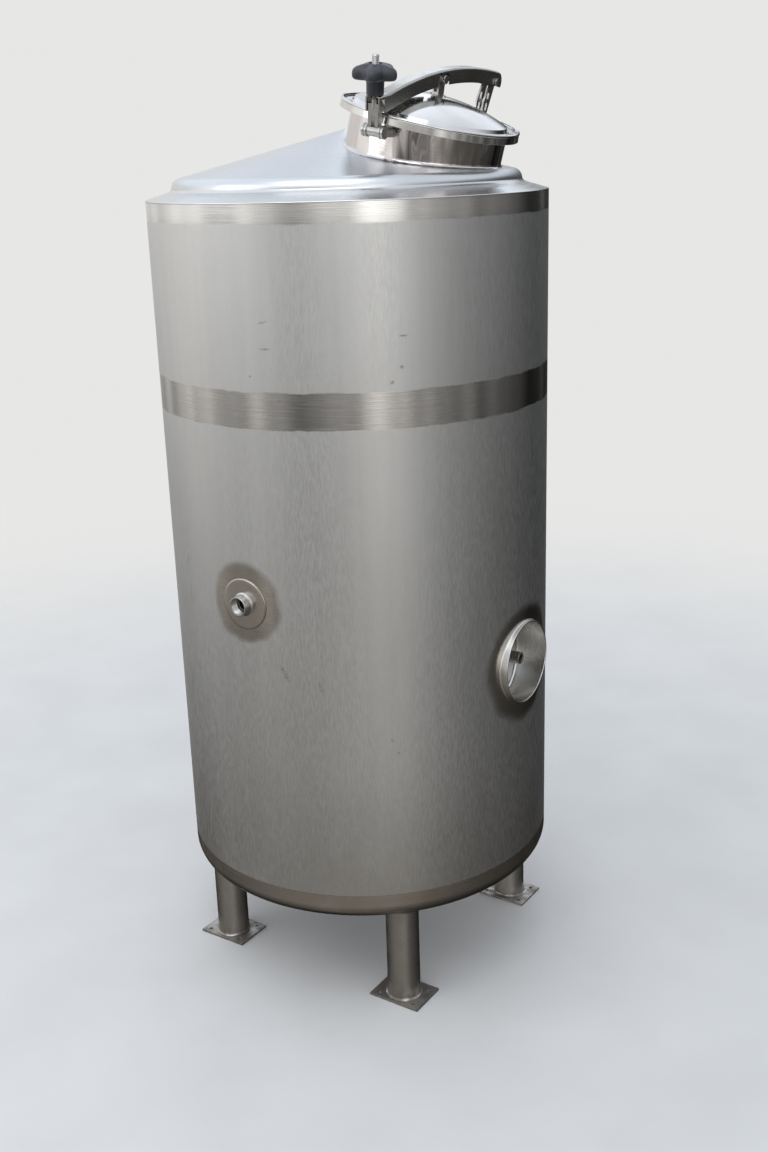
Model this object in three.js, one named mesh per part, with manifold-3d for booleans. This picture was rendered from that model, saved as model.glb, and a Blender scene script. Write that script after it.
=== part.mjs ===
// Jacketed stainless steel storage tank with a tilted manway, on four legs.
// Millimetres, +Z up. The origin is on the ground, on the tank's upright axis.
// -Y is the side of the threaded socket. +X is the side of the recess port and
// the low side of the manway.
import * as THREE from 'three';
import { mergeVertices } from 'three/addons/utils/BufferGeometryUtils.js';
import Module from 'manifold-3d';

const wasm = await Module();
wasm.setup();

// Clearances
const GAP = 0.3; // between pieces that touch
const PIN_PLAY = 0.3; // radial, round a pin
const OVER = 20; // how far a cutter runs past what it cuts
const WIDE = 60; // half the width of a cutter that spans the whole closure

// Outer jacket: two courses of rolled sheet
const JACKET_R = 400;
const JACKET_SHEET = 2;
const RIM_Z = 1640;
const SEAM_Z = 1276;
const SKIRT_Z = 282; // lower edge of the satin sheet, where the bottom is welded on
const BOTTOM_Z = 222; // underside of the jacket
const BOTTOM_KNUCKLE_R = 35;
const SEGMENTS = 8; // round a wall
const JACKET_FACETS = 64; // round a full circle

// Ledge that closes the insulation gap at the top
const LEDGE_RISE = 16;

// Inner vessel
const VESSEL_R = 348;
const VESSEL_SHEET = 3;
const VESSEL_FACETS = 48;
const VESSEL_LOW_Z = 300;
const TOP_KNUCKLE_R = 21;
const TOP_SKIRT_Z = 1640; // lower edge of the vessel's top
const CONE_SLOPE = THREE.MathUtils.degToRad(14);
const CONE_APEX_Z = 1765;
const SHOULDER_R = 332; // seam between the cone and its knuckle
const CONE_CROSS_X = 181; // where the seams of the cone's four sheets cross, at the manway's middle
const FLOOR_KNUCKLE_R = 20;
const FLOOR_SLOPE = THREE.MathUtils.degToRad(4);

// Outlet under the middle of the vessel
const OUTLET_R = 27;
const OUTLET_WALL = 2;
const OUTLET_LOW_Z = 150;
const FERRULE_R = 32;
const FERRULE_HEIGHT = 6;

// Legs and their foot plates
const LEG_R = 35;
const LEG_WALL = 3;
const LEG_CIRCLE_R = 334;
const PLATE = { x: 119, y: 89, thick: 5 };
const PLATE_HOLE = { x: 42.5, y: 31.5, r: 4 }; // from the plate's middle

// Threaded socket on the -Y side
const SOCKET_Z = 895;
const PAD_R = 51.5;
const PAD_PROUD = 2.5;
const SOCKET_R = 19.5;
const SOCKET_REACH = 19; // beyond the pad
const SOCKET_BORE_R = 16.5;
const SOCKET_BORE_DEPTH = 20;
const SOCKET_STEP_R = 12; // threaded bore behind the wide one

// Recess port on the +X side
const RECESS_Z = 714;
const RECESS_R = 83.5; // inside the sleeve
const RECESS_WALL = 3.5;
const RECESS_FACE_X = 407; // the sleeve's flat outer end
const RECESS_EDGE = 1.4; // rounding of that end
const STUB_Z = 719;
const STUB_R = 12.5;
const STUB_BORE_R = 8;
const STUB_REACH = 44; // out from the vessel's wall, which the stub goes through

// Manway: the lid's frame sits at the middle of the lid's rim, tilted toward +X
const LID_X = 199.2;
const LID_Z = 1786.5;
const LID_TILT = THREE.MathUtils.degToRad(15.5);
const NECK_R = 150;
const NECK_WALL = 3;
const NECK_TOP = -13;
const NECK_DEPTH = 160; // far enough to reach through the cone
const LID_R = 172.2;
const LID_SHEET = 2;
const LID_BAND = 17.5; // height of the rim
const LID_FLOOR = -5; // gutter between the rim and the dome
const DOME_R = 146;
const DOME_EDGE = 3;
const DOME_RISE = 33;
const GASKET_OUTER_R = 157;
const LID_FACETS = 48; // round a full circle

// Closure: arm, hinge and swing bolt stand closer to upright than the lid's axis
const CLOSURE_TILT = THREE.MathUtils.degToRad(10);
const ARM_HALF_WIDTH = 15;
const ARM_SHEET = 3;
const ARM_DEPTH = 28;
const ARM_BACK_R = 11; // rounding of the arm's back
const ARM_FRONT = { y: -205, z: 19.5 };
const ARM_REAR = { y: 215, z: 81 };
const ARM_SAGITTA = 27;
const ARM_FACETS = 128; // round the arc's full circle
const NOSE_LENGTH = 33;
const NOSE_INNER = 25; // from the bolt's axis toward the lid
const SLOT_HALF_WIDTH = 9;
const HINGE = { y: 208, z: 61 };
const HINGE_PIN_R = 5;
const ARM_END_R = 22; // rounding of the arm's rear end, about the hinge pin
const LUG_X = 8; // middle of each hinge lug
const LUG_THICK = 4;
const LUG_HEAD_R = 9;
const LUG_HEAD_FROM = -0.55; // the round head's arc, in radians
const LUG_HEAD_TO = 2.75;
const LUG_FOOT = [[140, -72], [162, -62], [192, -10], [213, 55]]; // from the neck out to the head
const LUG_BACK = [[178.2, 22], [178.2, -26], [140, -26]]; // down past the lid's rim, back to the neck
const LUG_SLOT = { low: { y: 188, z: 8 }, high: { y: 193, z: 38 }, r: 3.5 };
const LUG_WEB = { y: 10, z: 34, middle: -45 }; // joins the two lugs on the neck
const SPACER = { y: 194, z: 24, r: 4 };
const HINGE_HEAD_R = 7;
const BRACKET = { x: 3.2, y: 10, z: 61 };
const EAR_X = 5.3; // middle of each ear
const EAR_THICK = 4;
const EAR_HEAD_R = 10;
const EAR_SUNK = 6; // below the dome's top, before the dome is cut out
const EAR_BASE = 11; // height of the block that joins the ears
const TONGUE = { x: 6, y: 16, z: 24 }; // hangs from the arm's back between the ears
const NOTCH_HALF = 21; // along the arm, where its sides are cut away round the ears
const NOTCH_TOP = 72;
const BRACKET_PIN_HALF = 12;
const PIN_HEAD_R = 8;
const PIN_HEAD = 4;

// Swing bolt and star knob; their frame sits on the bolt's pin
const BOLT = { y: -185, z: -32 };
const BOLT_LEAN = THREE.MathUtils.degToRad(10);
const BARREL_R = 9.5;
const BARREL_HALF = 23;
const COLLAR_R = 11.5;
const COLLARS = [12.5, 18.5]; // where each pair of collars starts, out from the middle
const COLLAR_WIDTH = 4.5;
const BOLT_HALF_WIDTH = 11;
const BOLT_THICK = 12;
const BOLT_FORK_GAP = 4; // half the space between the two tines
const BOLT_FORK_TOP = 26;
const BOLT_BODY_TOP = 48;
const STUD_R = 6.5;
const STUD_TOP = 130;
const SEAT = 62; // the arm's nose under the knob, along the bolt
const HUB_R = 16;
const HUB_HEIGHT = 26;
const KNOB_R = 35.5; // mean radius of the star
const KNOB_LOBE = 6;
const KNOB_LOBES = 5;
const KNOB_TURN = THREE.MathUtils.degToRad(24.7); // of one lobe, from -Y toward +X
const KNOB_EDGE = 4; // rounding of the star's lower edge
const KNOB_HEIGHT = 27;
const KNOB_TOP = [[42.5, 0], [42.5, 12], [41, 17], [38, 20.5], [33, 23.5], [24, 26]]; // radius, height
const KNOB_POCKET = { r: 12.5, depth: 3 }; // round the stud's end

const TURN = Math.PI * 2;

const steel = { color: 0xa9abad, roughness: 0.4, metalness: 1 };
const mirror = { color: 0xc4c6c8, roughness: 0.12, metalness: 1 };
const cast = { color: 0x9a9c9c, roughness: 0.3, metalness: 1 };
const black = { color: 0x1b1c1e, roughness: 0.55, metalness: 0 };

const tank = new THREE.Group();
const lidFrame = new THREE.Group();
lidFrame.position.set(LID_X, 0, LID_Z);
lidFrame.rotation.y = LID_TILT;
const closureFrame = new THREE.Group();
closureFrame.position.set(LID_X, 0, LID_Z);
closureFrame.rotation.y = CLOSURE_TILT;
const boltFrame = new THREE.Group();
boltFrame.position.set(0, BOLT.y, BOLT.z);
boltFrame.rotation.x = BOLT_LEAN;
closureFrame.add(boltFrame);
tank.add(lidFrame, closureFrame);

// Closed solid from a geometry, for cutting and joining
function solid(geometry) {
  const bare = geometry.clone();
  bare.deleteAttribute('normal');
  bare.deleteAttribute('uv');
  const merged = mergeVertices(bare, 1e-4);
  const mesh = new wasm.Mesh({
    numProp: 3,
    vertProperties: new Float32Array(merged.attributes.position.array),
    triVerts: new Uint32Array(merged.index.array),
  });
  return new wasm.Manifold(mesh);
}

// Geometry from a closed solid
function geometryOf(body) {
  const mesh = body.getMesh();
  const geometry = new THREE.BufferGeometry();
  geometry.setAttribute('position', new THREE.BufferAttribute(new Float32Array(mesh.vertProperties), 3));
  geometry.setIndex(new THREE.BufferAttribute(new Uint32Array(mesh.triVerts), 1));
  geometry.computeVertexNormals();
  return geometry;
}

function addPiece(parent, name, shape, look) {
  const geometry = shape.isBufferGeometry ? shape : geometryOf(shape);
  const mesh = new THREE.Mesh(geometry, new THREE.MeshStandardMaterial(look));
  mesh.name = name;
  parent.add(mesh);
  return mesh;
}

// Points on an arc, angles from +X toward +Y of the profile's plane
function arcPoints(cx, cy, r, from, to, steps) {
  const points = [];
  for (let i = 0; i <= steps; i += 1) {
    const a = from + ((to - from) * i) / steps;
    points.push(new THREE.Vector2(cx + r * Math.cos(a), cy + r * Math.sin(a)));
  }
  return points;
}

// Turns a profile of [radius, height] points round the Z axis
function turned(points, facets) {
  const profile = points.map((p) => (p.isVector2 ? p : new THREE.Vector2(p[0], p[1])));
  const closed = profile[0].x < 1e-6 ? profile : [...profile, profile[0].clone()];
  return new THREE.LatheGeometry(closed, facets).rotateX(Math.PI / 2);
}

function box(sx, sy, sz, x = 0, y = 0, z = 0) {
  return new THREE.BoxGeometry(sx, sy, sz).translate(x, y, z);
}

// Cylinder from one height to another along Z
function rod(r, z0, z1, facets = 32) {
  const geometry = new THREE.CylinderGeometry(r, r, z1 - z0, facets);
  return geometry.rotateX(Math.PI / 2).translate(0, 0, (z0 + z1) / 2);
}

// Cylinder from one place to another along X, round a point of the YZ plane
function crossRod(r, x0, x1, y = 0, z = 0, facets = 24) {
  const geometry = new THREE.CylinderGeometry(r, r, x1 - x0, facets);
  return geometry.rotateZ(Math.PI / 2).translate((x0 + x1) / 2, y, z);
}

// Cylinder from one place to another along Y, on the socket's axis
function socketRod(r, y0, y1, facets) {
  return rod(r, y0, y1, facets).rotateX(-Math.PI / 2).translate(0, 0, SOCKET_Z);
}

// Outline in the YZ plane, given thickness along X
function plate(outline, x0, x1) {
  const geometry = new THREE.ExtrudeGeometry(outline, { depth: x1 - x0, bevelEnabled: false, curveSegments: 6 });
  geometry.applyMatrix4(new THREE.Matrix4().makeBasis(
    new THREE.Vector3(0, 1, 0),
    new THREE.Vector3(0, 0, 1),
    new THREE.Vector3(1, 0, 0),
  ));
  return geometry.translate(x0, 0, 0);
}

// One sector of a round wall
function wallSector(rOuter, sheet, middle, z0, z1, facets) {
  const half = Math.PI / SEGMENTS - GAP / 2 / rOuter;
  const outline = new THREE.Shape();
  outline.absarc(0, 0, rOuter, middle - half, middle + half, false);
  outline.absarc(0, 0, rOuter - sheet, middle + half, middle - half, true);
  const geometry = new THREE.ExtrudeGeometry(outline, {
    depth: z1 - z0,
    bevelEnabled: false,
    curveSegments: facets / SEGMENTS / 2, // a full step on an arc is two facets
  });
  return geometry.translate(0, 0, z0);
}

// A cutter in the tank's frame brought into a tilted frame, or the other way
function moved(geometry, frame, inverse = false) {
  frame.updateWorldMatrix(true, false);
  const matrix = frame.matrixWorld.clone();
  if (inverse) matrix.invert();
  return geometry.applyMatrix4(matrix);
}

// Where the jacket's sectors stand: the first one faces -Y, the rest follow round
function sectorMiddle(i) {
  return -Math.PI / 2 + (i * TURN) / SEGMENTS;
}

function makeJacket() {
  const socketCut = solid(socketRod(PAD_R + GAP, -JACKET_R - OVER, -JACKET_R + 2 * OVER, 48));
  const sleeveR = RECESS_R + RECESS_WALL;
  const recessCut = solid(crossRod(sleeveR + GAP, JACKET_R - 2 * OVER, JACKET_R + OVER, 0, RECESS_Z, 48));
  for (let i = 0; i < SEGMENTS; i += 1) {
    const middle = sectorMiddle(i);
    addPiece(tank, `jacket_upper_${i + 1}`,
      wallSector(JACKET_R, JACKET_SHEET, middle, SEAM_Z + GAP / 2, RIM_Z, JACKET_FACETS), steel);
    let lower = wallSector(JACKET_R, JACKET_SHEET, middle, SKIRT_Z + GAP, SEAM_Z - GAP / 2, JACKET_FACETS);
    if (i === 0) lower = solid(lower).subtract(socketCut);
    if (i === 2) lower = solid(lower).subtract(recessCut);
    addPiece(tank, `jacket_lower_${i + 1}`, lower, steel);
  }
}

function makeJacketBottom() {
  const r = BOTTOM_KNUCKLE_R;
  const inner = r - JACKET_SHEET;
  const cx = JACKET_R - r;
  const cz = BOTTOM_Z + r;
  const hole = OUTLET_R + GAP;
  const points = [
    [hole, BOTTOM_Z],
    ...arcPoints(cx, cz, r, -Math.PI / 2, 0, 4),
    [JACKET_R, SKIRT_Z],
    [JACKET_R - JACKET_SHEET, SKIRT_Z],
    ...arcPoints(cx, cz, inner, 0, -Math.PI / 2, 4),
    [hole, BOTTOM_Z + JACKET_SHEET],
  ];
  addPiece(tank, 'jacket_bottom', turned(points, JACKET_FACETS), mirror);
}

function makeLedge() {
  const rIn = VESSEL_R + GAP;
  const points = [
    [rIn, RIM_Z + GAP + LEDGE_RISE - JACKET_SHEET],
    [JACKET_R, RIM_Z + GAP],
    [JACKET_R, RIM_Z + GAP + JACKET_SHEET],
    [rIn, RIM_Z + GAP + LEDGE_RISE],
  ];
  addPiece(tank, 'ledge_ring', turned(points, JACKET_FACETS), mirror);
}

// Outer outline of the vessel's top from its lower edge to the apex
function topOutline(offset) {
  const r = TOP_KNUCKLE_R + offset;
  const cx = VESSEL_R - TOP_KNUCKLE_R;
  const coneEdge = new THREE.Vector2(Math.sin(CONE_SLOPE), Math.cos(CONE_SLOPE));
  const cz = CONE_APEX_Z - cx * Math.tan(CONE_SLOPE) - TOP_KNUCKLE_R / coneEdge.y;
  return [
    ...arcPoints(cx, cz, r, 0, Math.PI / 2 - CONE_SLOPE, 4),
    new THREE.Vector2(0, CONE_APEX_Z + offset / coneEdge.y),
  ];
}

function makeVessel() {
  const outer = topOutline(0);
  const inner = topOutline(-VESSEL_SHEET).reverse();
  const top = turned([
    ...inner,
    [VESSEL_R - VESSEL_SHEET, TOP_SKIRT_Z],
    [VESSEL_R, TOP_SKIRT_Z],
    ...outer,
  ], JACKET_FACETS);
  const mouth = moved(rod(NECK_R - NECK_WALL, -NECK_DEPTH, OVER, LID_FACETS), lidFrame);
  const insideSeam = rod(SHOULDER_R - GAP, RIM_Z, CONE_APEX_Z + OVER, JACKET_FACETS);
  const insideShoulder = rod(SHOULDER_R, RIM_Z, CONE_APEX_Z + OVER, JACKET_FACETS);
  const cone = solid(top).intersect(solid(insideSeam)).subtract(solid(mouth));
  [[1, -1], [1, 1], [-1, 1], [-1, -1]].forEach(([sx, sy], i) => {
    const size = 2 * JACKET_R;
    const away = JACKET_R + GAP / 2;
    const quarter = box(size, size, size, CONE_CROSS_X + sx * away, sy * away, CONE_APEX_Z);
    addPiece(tank, `vessel_top_${i + 1}`, cone.intersect(solid(quarter)), mirror);
  });
  addPiece(tank, 'vessel_shoulder', solid(top).subtract(solid(insideShoulder)), mirror);

  const socketBore = solid(socketRod(SOCKET_STEP_R, -VESSEL_R - OVER, -VESSEL_R + OVER));
  const stubHole = solid(crossRod(STUB_R + GAP, VESSEL_R - OVER, VESSEL_R + OVER, 0, STUB_Z, 32));
  for (let i = 0; i < SEGMENTS; i += 1) {
    const middle = sectorMiddle(i + 0.5);
    let wall = wallSector(VESSEL_R, VESSEL_SHEET, middle, VESSEL_LOW_Z + GAP, TOP_SKIRT_Z - GAP, VESSEL_FACETS);
    if (i === 0 || i === SEGMENTS - 1) wall = solid(wall).subtract(socketBore);
    if (i === 1 || i === 2) wall = solid(wall).subtract(stubHole);
    addPiece(tank, `vessel_wall_${i + 1}`, wall, steel);
  }

  const k = FLOOR_KNUCKLE_R;
  const kx = VESSEL_R - k;
  const low = -Math.PI / 2 + FLOOR_SLOPE;
  const floorZ = (r, offset) => VESSEL_LOW_Z - k / Math.cos(FLOOR_SLOPE)
    - (kx - r) * Math.tan(FLOOR_SLOPE) + offset / Math.cos(FLOOR_SLOPE);
  const hole = OUTLET_R + GAP;
  const floor = turned([
    [hole, floorZ(hole, 0)],
    ...arcPoints(kx, VESSEL_LOW_Z, k, low, 0, 3),
    ...arcPoints(kx, VESSEL_LOW_Z, k - VESSEL_SHEET, 0, low, 3),
    [hole, floorZ(hole, VESSEL_SHEET)],
  ], VESSEL_FACETS);
  addPiece(tank, 'vessel_bottom', floor, steel);

  const outletTop = floorZ(hole, VESSEL_SHEET);
  const bore = OUTLET_R - OUTLET_WALL;
  addPiece(tank, 'bottom_outlet', turned([
    [bore, OUTLET_LOW_Z],
    [FERRULE_R, OUTLET_LOW_Z],
    [FERRULE_R, OUTLET_LOW_Z + FERRULE_HEIGHT * 0.5],
    [OUTLET_R, OUTLET_LOW_Z + FERRULE_HEIGHT],
    [OUTLET_R, outletTop],
    [bore, outletTop],
  ], 32), mirror);
}

function makeSocket() {
  const padShell = solid(turned([
    [JACKET_R - JACKET_SHEET, SOCKET_Z - 2 * PAD_R],
    [JACKET_R + PAD_PROUD, SOCKET_Z - 2 * PAD_R],
    [JACKET_R + PAD_PROUD, SOCKET_Z + 2 * PAD_R],
    [JACKET_R - JACKET_SHEET, SOCKET_Z + 2 * PAD_R],
  ], JACKET_FACETS));
  const pad = padShell
    .intersect(solid(socketRod(PAD_R, -JACKET_R - OVER, -JACKET_R + 2 * OVER, 48)))
    .subtract(solid(socketRod(SOCKET_R + GAP, -JACKET_R - 2 * OVER, -JACKET_R + 3 * OVER, 40)));
  addPiece(tank, 'socket_pad', pad, mirror);

  const mouth = -JACKET_R - PAD_PROUD - SOCKET_REACH;
  const vessel = solid(rod(VESSEL_R + GAP, SOCKET_Z - 2 * SOCKET_R, SOCKET_Z + 2 * SOCKET_R, VESSEL_FACETS));
  const socket = solid(socketRod(SOCKET_R, mouth, -VESSEL_R + OVER, 40))
    .subtract(solid(socketRod(SOCKET_BORE_R, mouth - OVER, mouth + SOCKET_BORE_DEPTH, 40)))
    .subtract(solid(socketRod(SOCKET_STEP_R, mouth, -VESSEL_R + 2 * OVER, 32)))
    .subtract(vessel);
  addPiece(tank, 'socket', socket, cast);
}

function makeRecess() {
  const lowZ = RECESS_Z - 2 * RECESS_R;
  const highZ = RECESS_Z + 2 * RECESS_R;
  const vessel = solid(rod(VESSEL_R + GAP, lowZ, highZ, VESSEL_FACETS));
  const outer = RECESS_R + RECESS_WALL;
  const tube = turned([
    [RECESS_R, VESSEL_R - OVER],
    [outer, VESSEL_R - OVER],
    [outer, RECESS_FACE_X - RECESS_EDGE],
    [outer - RECESS_EDGE, RECESS_FACE_X],
    [RECESS_R + RECESS_EDGE, RECESS_FACE_X],
    [RECESS_R, RECESS_FACE_X - RECESS_EDGE],
  ], 48).rotateY(Math.PI / 2).translate(0, 0, RECESS_Z);
  addPiece(tank, 'recess_sleeve', solid(tube).subtract(vessel), mirror);

  const tip = VESSEL_R + STUB_REACH;
  const stub = solid(crossRod(STUB_R, VESSEL_R - VESSEL_SHEET, tip, 0, STUB_Z, 32))
    .subtract(solid(crossRod(STUB_BORE_R, VESSEL_R - 2 * OVER, tip + OVER, 0, STUB_Z, 24)));
  addPiece(tank, 'recess_nozzle', stub, cast);
}

// Plate under a leg, with a fixing hole in each corner
function footPlate() {
  let foot = solid(box(PLATE.x, PLATE.y, PLATE.thick, 0, 0, PLATE.thick / 2));
  for (const sx of [-1, 1]) {
    for (const sy of [-1, 1]) {
      const hole = rod(PLATE_HOLE.r, -OVER, OVER, 16).translate(sx * PLATE_HOLE.x, sy * PLATE_HOLE.y, 0);
      foot = foot.subtract(solid(hole));
    }
  }
  return foot;
}

function makeLegs() {
  for (let i = 0; i < 4; i += 1) {
    const angle = -Math.PI / 4 + (i * TURN) / 4;
    const x = LEG_CIRCLE_R * Math.cos(angle);
    const y = LEG_CIRCLE_R * Math.sin(angle);
    const leg = turned([
      [LEG_R - LEG_WALL, PLATE.thick + GAP],
      [LEG_R, PLATE.thick + GAP],
      [LEG_R, BOTTOM_Z - GAP],
      [LEG_R - LEG_WALL, BOTTOM_Z - GAP],
    ], 32);
    addPiece(tank, `leg_${i + 1}`, leg, mirror).position.set(x, y, 0);
    addPiece(tank, `foot_plate_${i + 1}`, footPlate(), steel).position.set(x, y, 0);
  }
}

function makeNeck() {
  const below = solid(moved(turned([
    [0, RIM_Z - 5 * OVER],
    [VESSEL_R + GAP, RIM_Z - 5 * OVER],
    ...topOutline(GAP),
  ], JACKET_FACETS), lidFrame, true));
  const neck = solid(turned([
    [NECK_R - NECK_WALL, -NECK_DEPTH],
    [NECK_R, -NECK_DEPTH],
    [NECK_R, NECK_TOP],
    [NECK_R - NECK_WALL, NECK_TOP],
  ], LID_FACETS)).subtract(below);
  addPiece(lidFrame, 'manway_neck', neck, mirror);
}

// Height of the dome's outer face over the lid's frame
function domeProfile(offset) {
  const rise = DOME_RISE - DOME_EDGE;
  const sphere = (DOME_R * DOME_R + rise * rise) / (2 * rise);
  const edge = Math.asin(DOME_R / sphere);
  return arcPoints(0, DOME_RISE - sphere, sphere + offset, Math.PI / 2 - edge, Math.PI / 2, 5)
    .map((p, i, all) => (i === all.length - 1 ? new THREE.Vector2(0, p.y) : p));
}

function makeLid() {
  const t = LID_SHEET;
  const lid = turned([
    ...domeProfile(-t).reverse(),
    [DOME_R + t, LID_FLOOR - t],
    [LID_R - t, LID_FLOOR - t],
    [LID_R - t, -LID_BAND],
    [LID_R, -LID_BAND],
    [LID_R, -1],
    [LID_R - 1, 0],
    [LID_R - 2 * t, -1],
    [LID_R - 2 * t, LID_FLOOR],
    [DOME_R + 2 * t, LID_FLOOR],
    ...domeProfile(0),
  ], LID_FACETS);
  addPiece(lidFrame, 'lid', lid, mirror);

  const gasket = turned([
    [NECK_R - NECK_WALL, NECK_TOP + GAP],
    [GASKET_OUTER_R, NECK_TOP + GAP],
    [GASKET_OUTER_R, LID_FLOOR - t - GAP],
    [NECK_R - NECK_WALL, LID_FLOOR - t - GAP],
  ], LID_FACETS);
  addPiece(lidFrame, 'lid_gasket', gasket, { color: 0xd8d6cf, roughness: 0.7, metalness: 0 });
}

// Circle that the arm's back follows, through both ends with the given rise
function armCircle() {
  const chord = new THREE.Vector2(ARM_REAR.y - ARM_FRONT.y, ARM_REAR.z - ARM_FRONT.z);
  const half = chord.length() / 2;
  const radius = (half * half + ARM_SAGITTA * ARM_SAGITTA) / (2 * ARM_SAGITTA);
  const up = new THREE.Vector2(-chord.y, chord.x).normalize();
  const middle = new THREE.Vector2((ARM_FRONT.y + ARM_REAR.y) / 2, (ARM_FRONT.z + ARM_REAR.z) / 2);
  return { radius, centre: middle.addScaledVector(up, ARM_SAGITTA - radius) };
}

// Section of the arm: a channel with a rounded back, open below.
// Points are [across, height], the back's middle at height 0.
function armSection() {
  const w = ARM_HALF_WIDTH;
  const t = ARM_SHEET;
  const r = ARM_BACK_R;
  return [
    [w - t, -ARM_DEPTH], [w, -ARM_DEPTH],
    ...arcPoints(w - r, -r, r, 0, Math.PI / 2, 4).map((p) => [p.x, p.y]),
    ...arcPoints(r - w, -r, r, Math.PI / 2, Math.PI, 4).map((p) => [p.x, p.y]),
    [-w, -ARM_DEPTH], [t - w, -ARM_DEPTH],
    ...arcPoints(r - w, -r, r - t, Math.PI, Math.PI / 2, 4).map((p) => [p.x, p.y]),
    ...arcPoints(w - r, -r, r - t, Math.PI / 2, 0, 4).map((p) => [p.x, p.y]),
  ];
}

function makeArm() {
  const { radius, centre } = armCircle();
  const section = armSection().map(([across, height]) => [radius + height, across]).reverse();
  const ring = turned(section, ARM_FACETS)
    .rotateY(Math.PI / 2)
    .translate(0, centre.x, centre.y);
  const arcStart = BOLT.y - SEAT * Math.sin(BOLT_LEAN) + NOSE_INNER / 2;
  const reach = solid(box(WIDE, HINGE.y - arcStart, 4 * WIDE, 0, (HINGE.y + arcStart) / 2, HINGE.z))
    .add(solid(crossRod(ARM_END_R, -WIDE, WIDE, HINGE.y, HINGE.z, 40)));
  const nose = new THREE.ExtrudeGeometry(
    new THREE.Shape(armSection().map(([x, y]) => new THREE.Vector2(x, y))),
    { depth: NOSE_LENGTH, bevelEnabled: false },
  ).rotateX(Math.PI / 2).translate(0, NOSE_INNER, SEAT);
  const outward = box(WIDE, WIDE, WIDE, 0, -WIDE / 2, SEAT);
  const lip = solid(outward).subtract(solid(crossRod(SEAT, -WIDE, WIDE, 0, 0, 96)));
  const slot = solid(rod(SLOT_HALF_WIDTH, OVER, SEAT + OVER, 24))
    .add(solid(box(2 * SLOT_HALF_WIDTH, WIDE, WIDE, 0, -WIDE / 2, SEAT)));
  let arm = solid(ring).intersect(reach);
  boltFrame.updateMatrix();
  arm = arm.add(solid(geometryOf(solid(nose).subtract(lip)).applyMatrix4(boltFrame.matrix)));
  const notch = solid(box(WIDE, 2 * NOTCH_HALF, WIDE, 0, BRACKET.y, NOTCH_TOP - WIDE / 2));
  const tongueZ = NOTCH_TOP - TONGUE.z / 3;
  const tongue = solid(box(TONGUE.x, TONGUE.y, TONGUE.z, BRACKET.x, BRACKET.y, tongueZ));
  arm = arm.subtract(notch).add(tongue).subtract(pinHole(HINGE)).subtract(pinHole(BRACKET));
  arm = arm.subtract(solid(geometryOf(slot).applyMatrix4(boltFrame.matrix)));
  addPiece(closureFrame, 'lid_arm', arm, mirror);
}

// A plate with a round head and a straight foot, as an outline in the YZ plane
function lugOutline(at, headR, footHalf, footZ) {
  const outline = new THREE.Shape();
  outline.moveTo(at.y - footHalf, footZ);
  outline.lineTo(at.y + footHalf, footZ);
  outline.lineTo(at.y + headR, at.z);
  outline.absarc(at.y, at.z, headR, 0, Math.PI, false);
  outline.closePath();
  return outline;
}

function makeBracket() {
  const { x } = BRACKET;
  const x0 = EAR_X - EAR_THICK / 2;
  const x1 = EAR_X + EAR_THICK / 2;
  const footZ = DOME_RISE - EAR_SUNK;
  const outline = lugOutline(BRACKET, EAR_HEAD_R, EAR_HEAD_R, footZ);
  const base = solid(box(2 * x1, 2 * EAR_HEAD_R, EAR_BASE, x, BRACKET.y, footZ + EAR_BASE / 2));
  const dome = solid(turned([[0, -OVER], [DOME_R, -OVER], ...domeProfile(GAP)], LID_FACETS)
    .applyMatrix4(new THREE.Matrix4().makeRotationY(LID_TILT - CLOSURE_TILT)));
  const bracket = solid(plate(outline, x + x0, x + x1)).add(solid(plate(outline, x - x1, x - x0))).add(base)
    .subtract(dome).subtract(pinHole(BRACKET));
  addPiece(closureFrame, 'lid_bracket', bracket, cast);
  const pin = headedPin(BRACKET, BRACKET_PIN_HALF, PIN_HEAD_R);
  addPiece(closureFrame, 'bracket_pin', pin.translate([x, 0, 0]), cast);
}

// Hole along X for a pin of the closure
function pinHole(at) {
  return solid(crossRod(HINGE_PIN_R + PIN_PLAY, -WIDE, WIDE, at.y, at.z));
}

// Pin along X with a head at each end
function headedPin(at, shank, headR) {
  return solid(crossRod(HINGE_PIN_R, -shank - 1, shank + 1, at.y, at.z))
    .add(solid(crossRod(headR, shank, shank + PIN_HEAD, at.y, at.z)))
    .add(solid(crossRod(headR, -shank - PIN_HEAD, -shank, at.y, at.z)));
}

// Solid of the neck with its gap, seen from the closure's frame
function neckKeepOut() {
  return solid(rod(NECK_R + GAP, -NECK_DEPTH, OVER, LID_FACETS)
    .applyMatrix4(new THREE.Matrix4().makeRotationY(LID_TILT - CLOSURE_TILT)));
}

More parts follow.
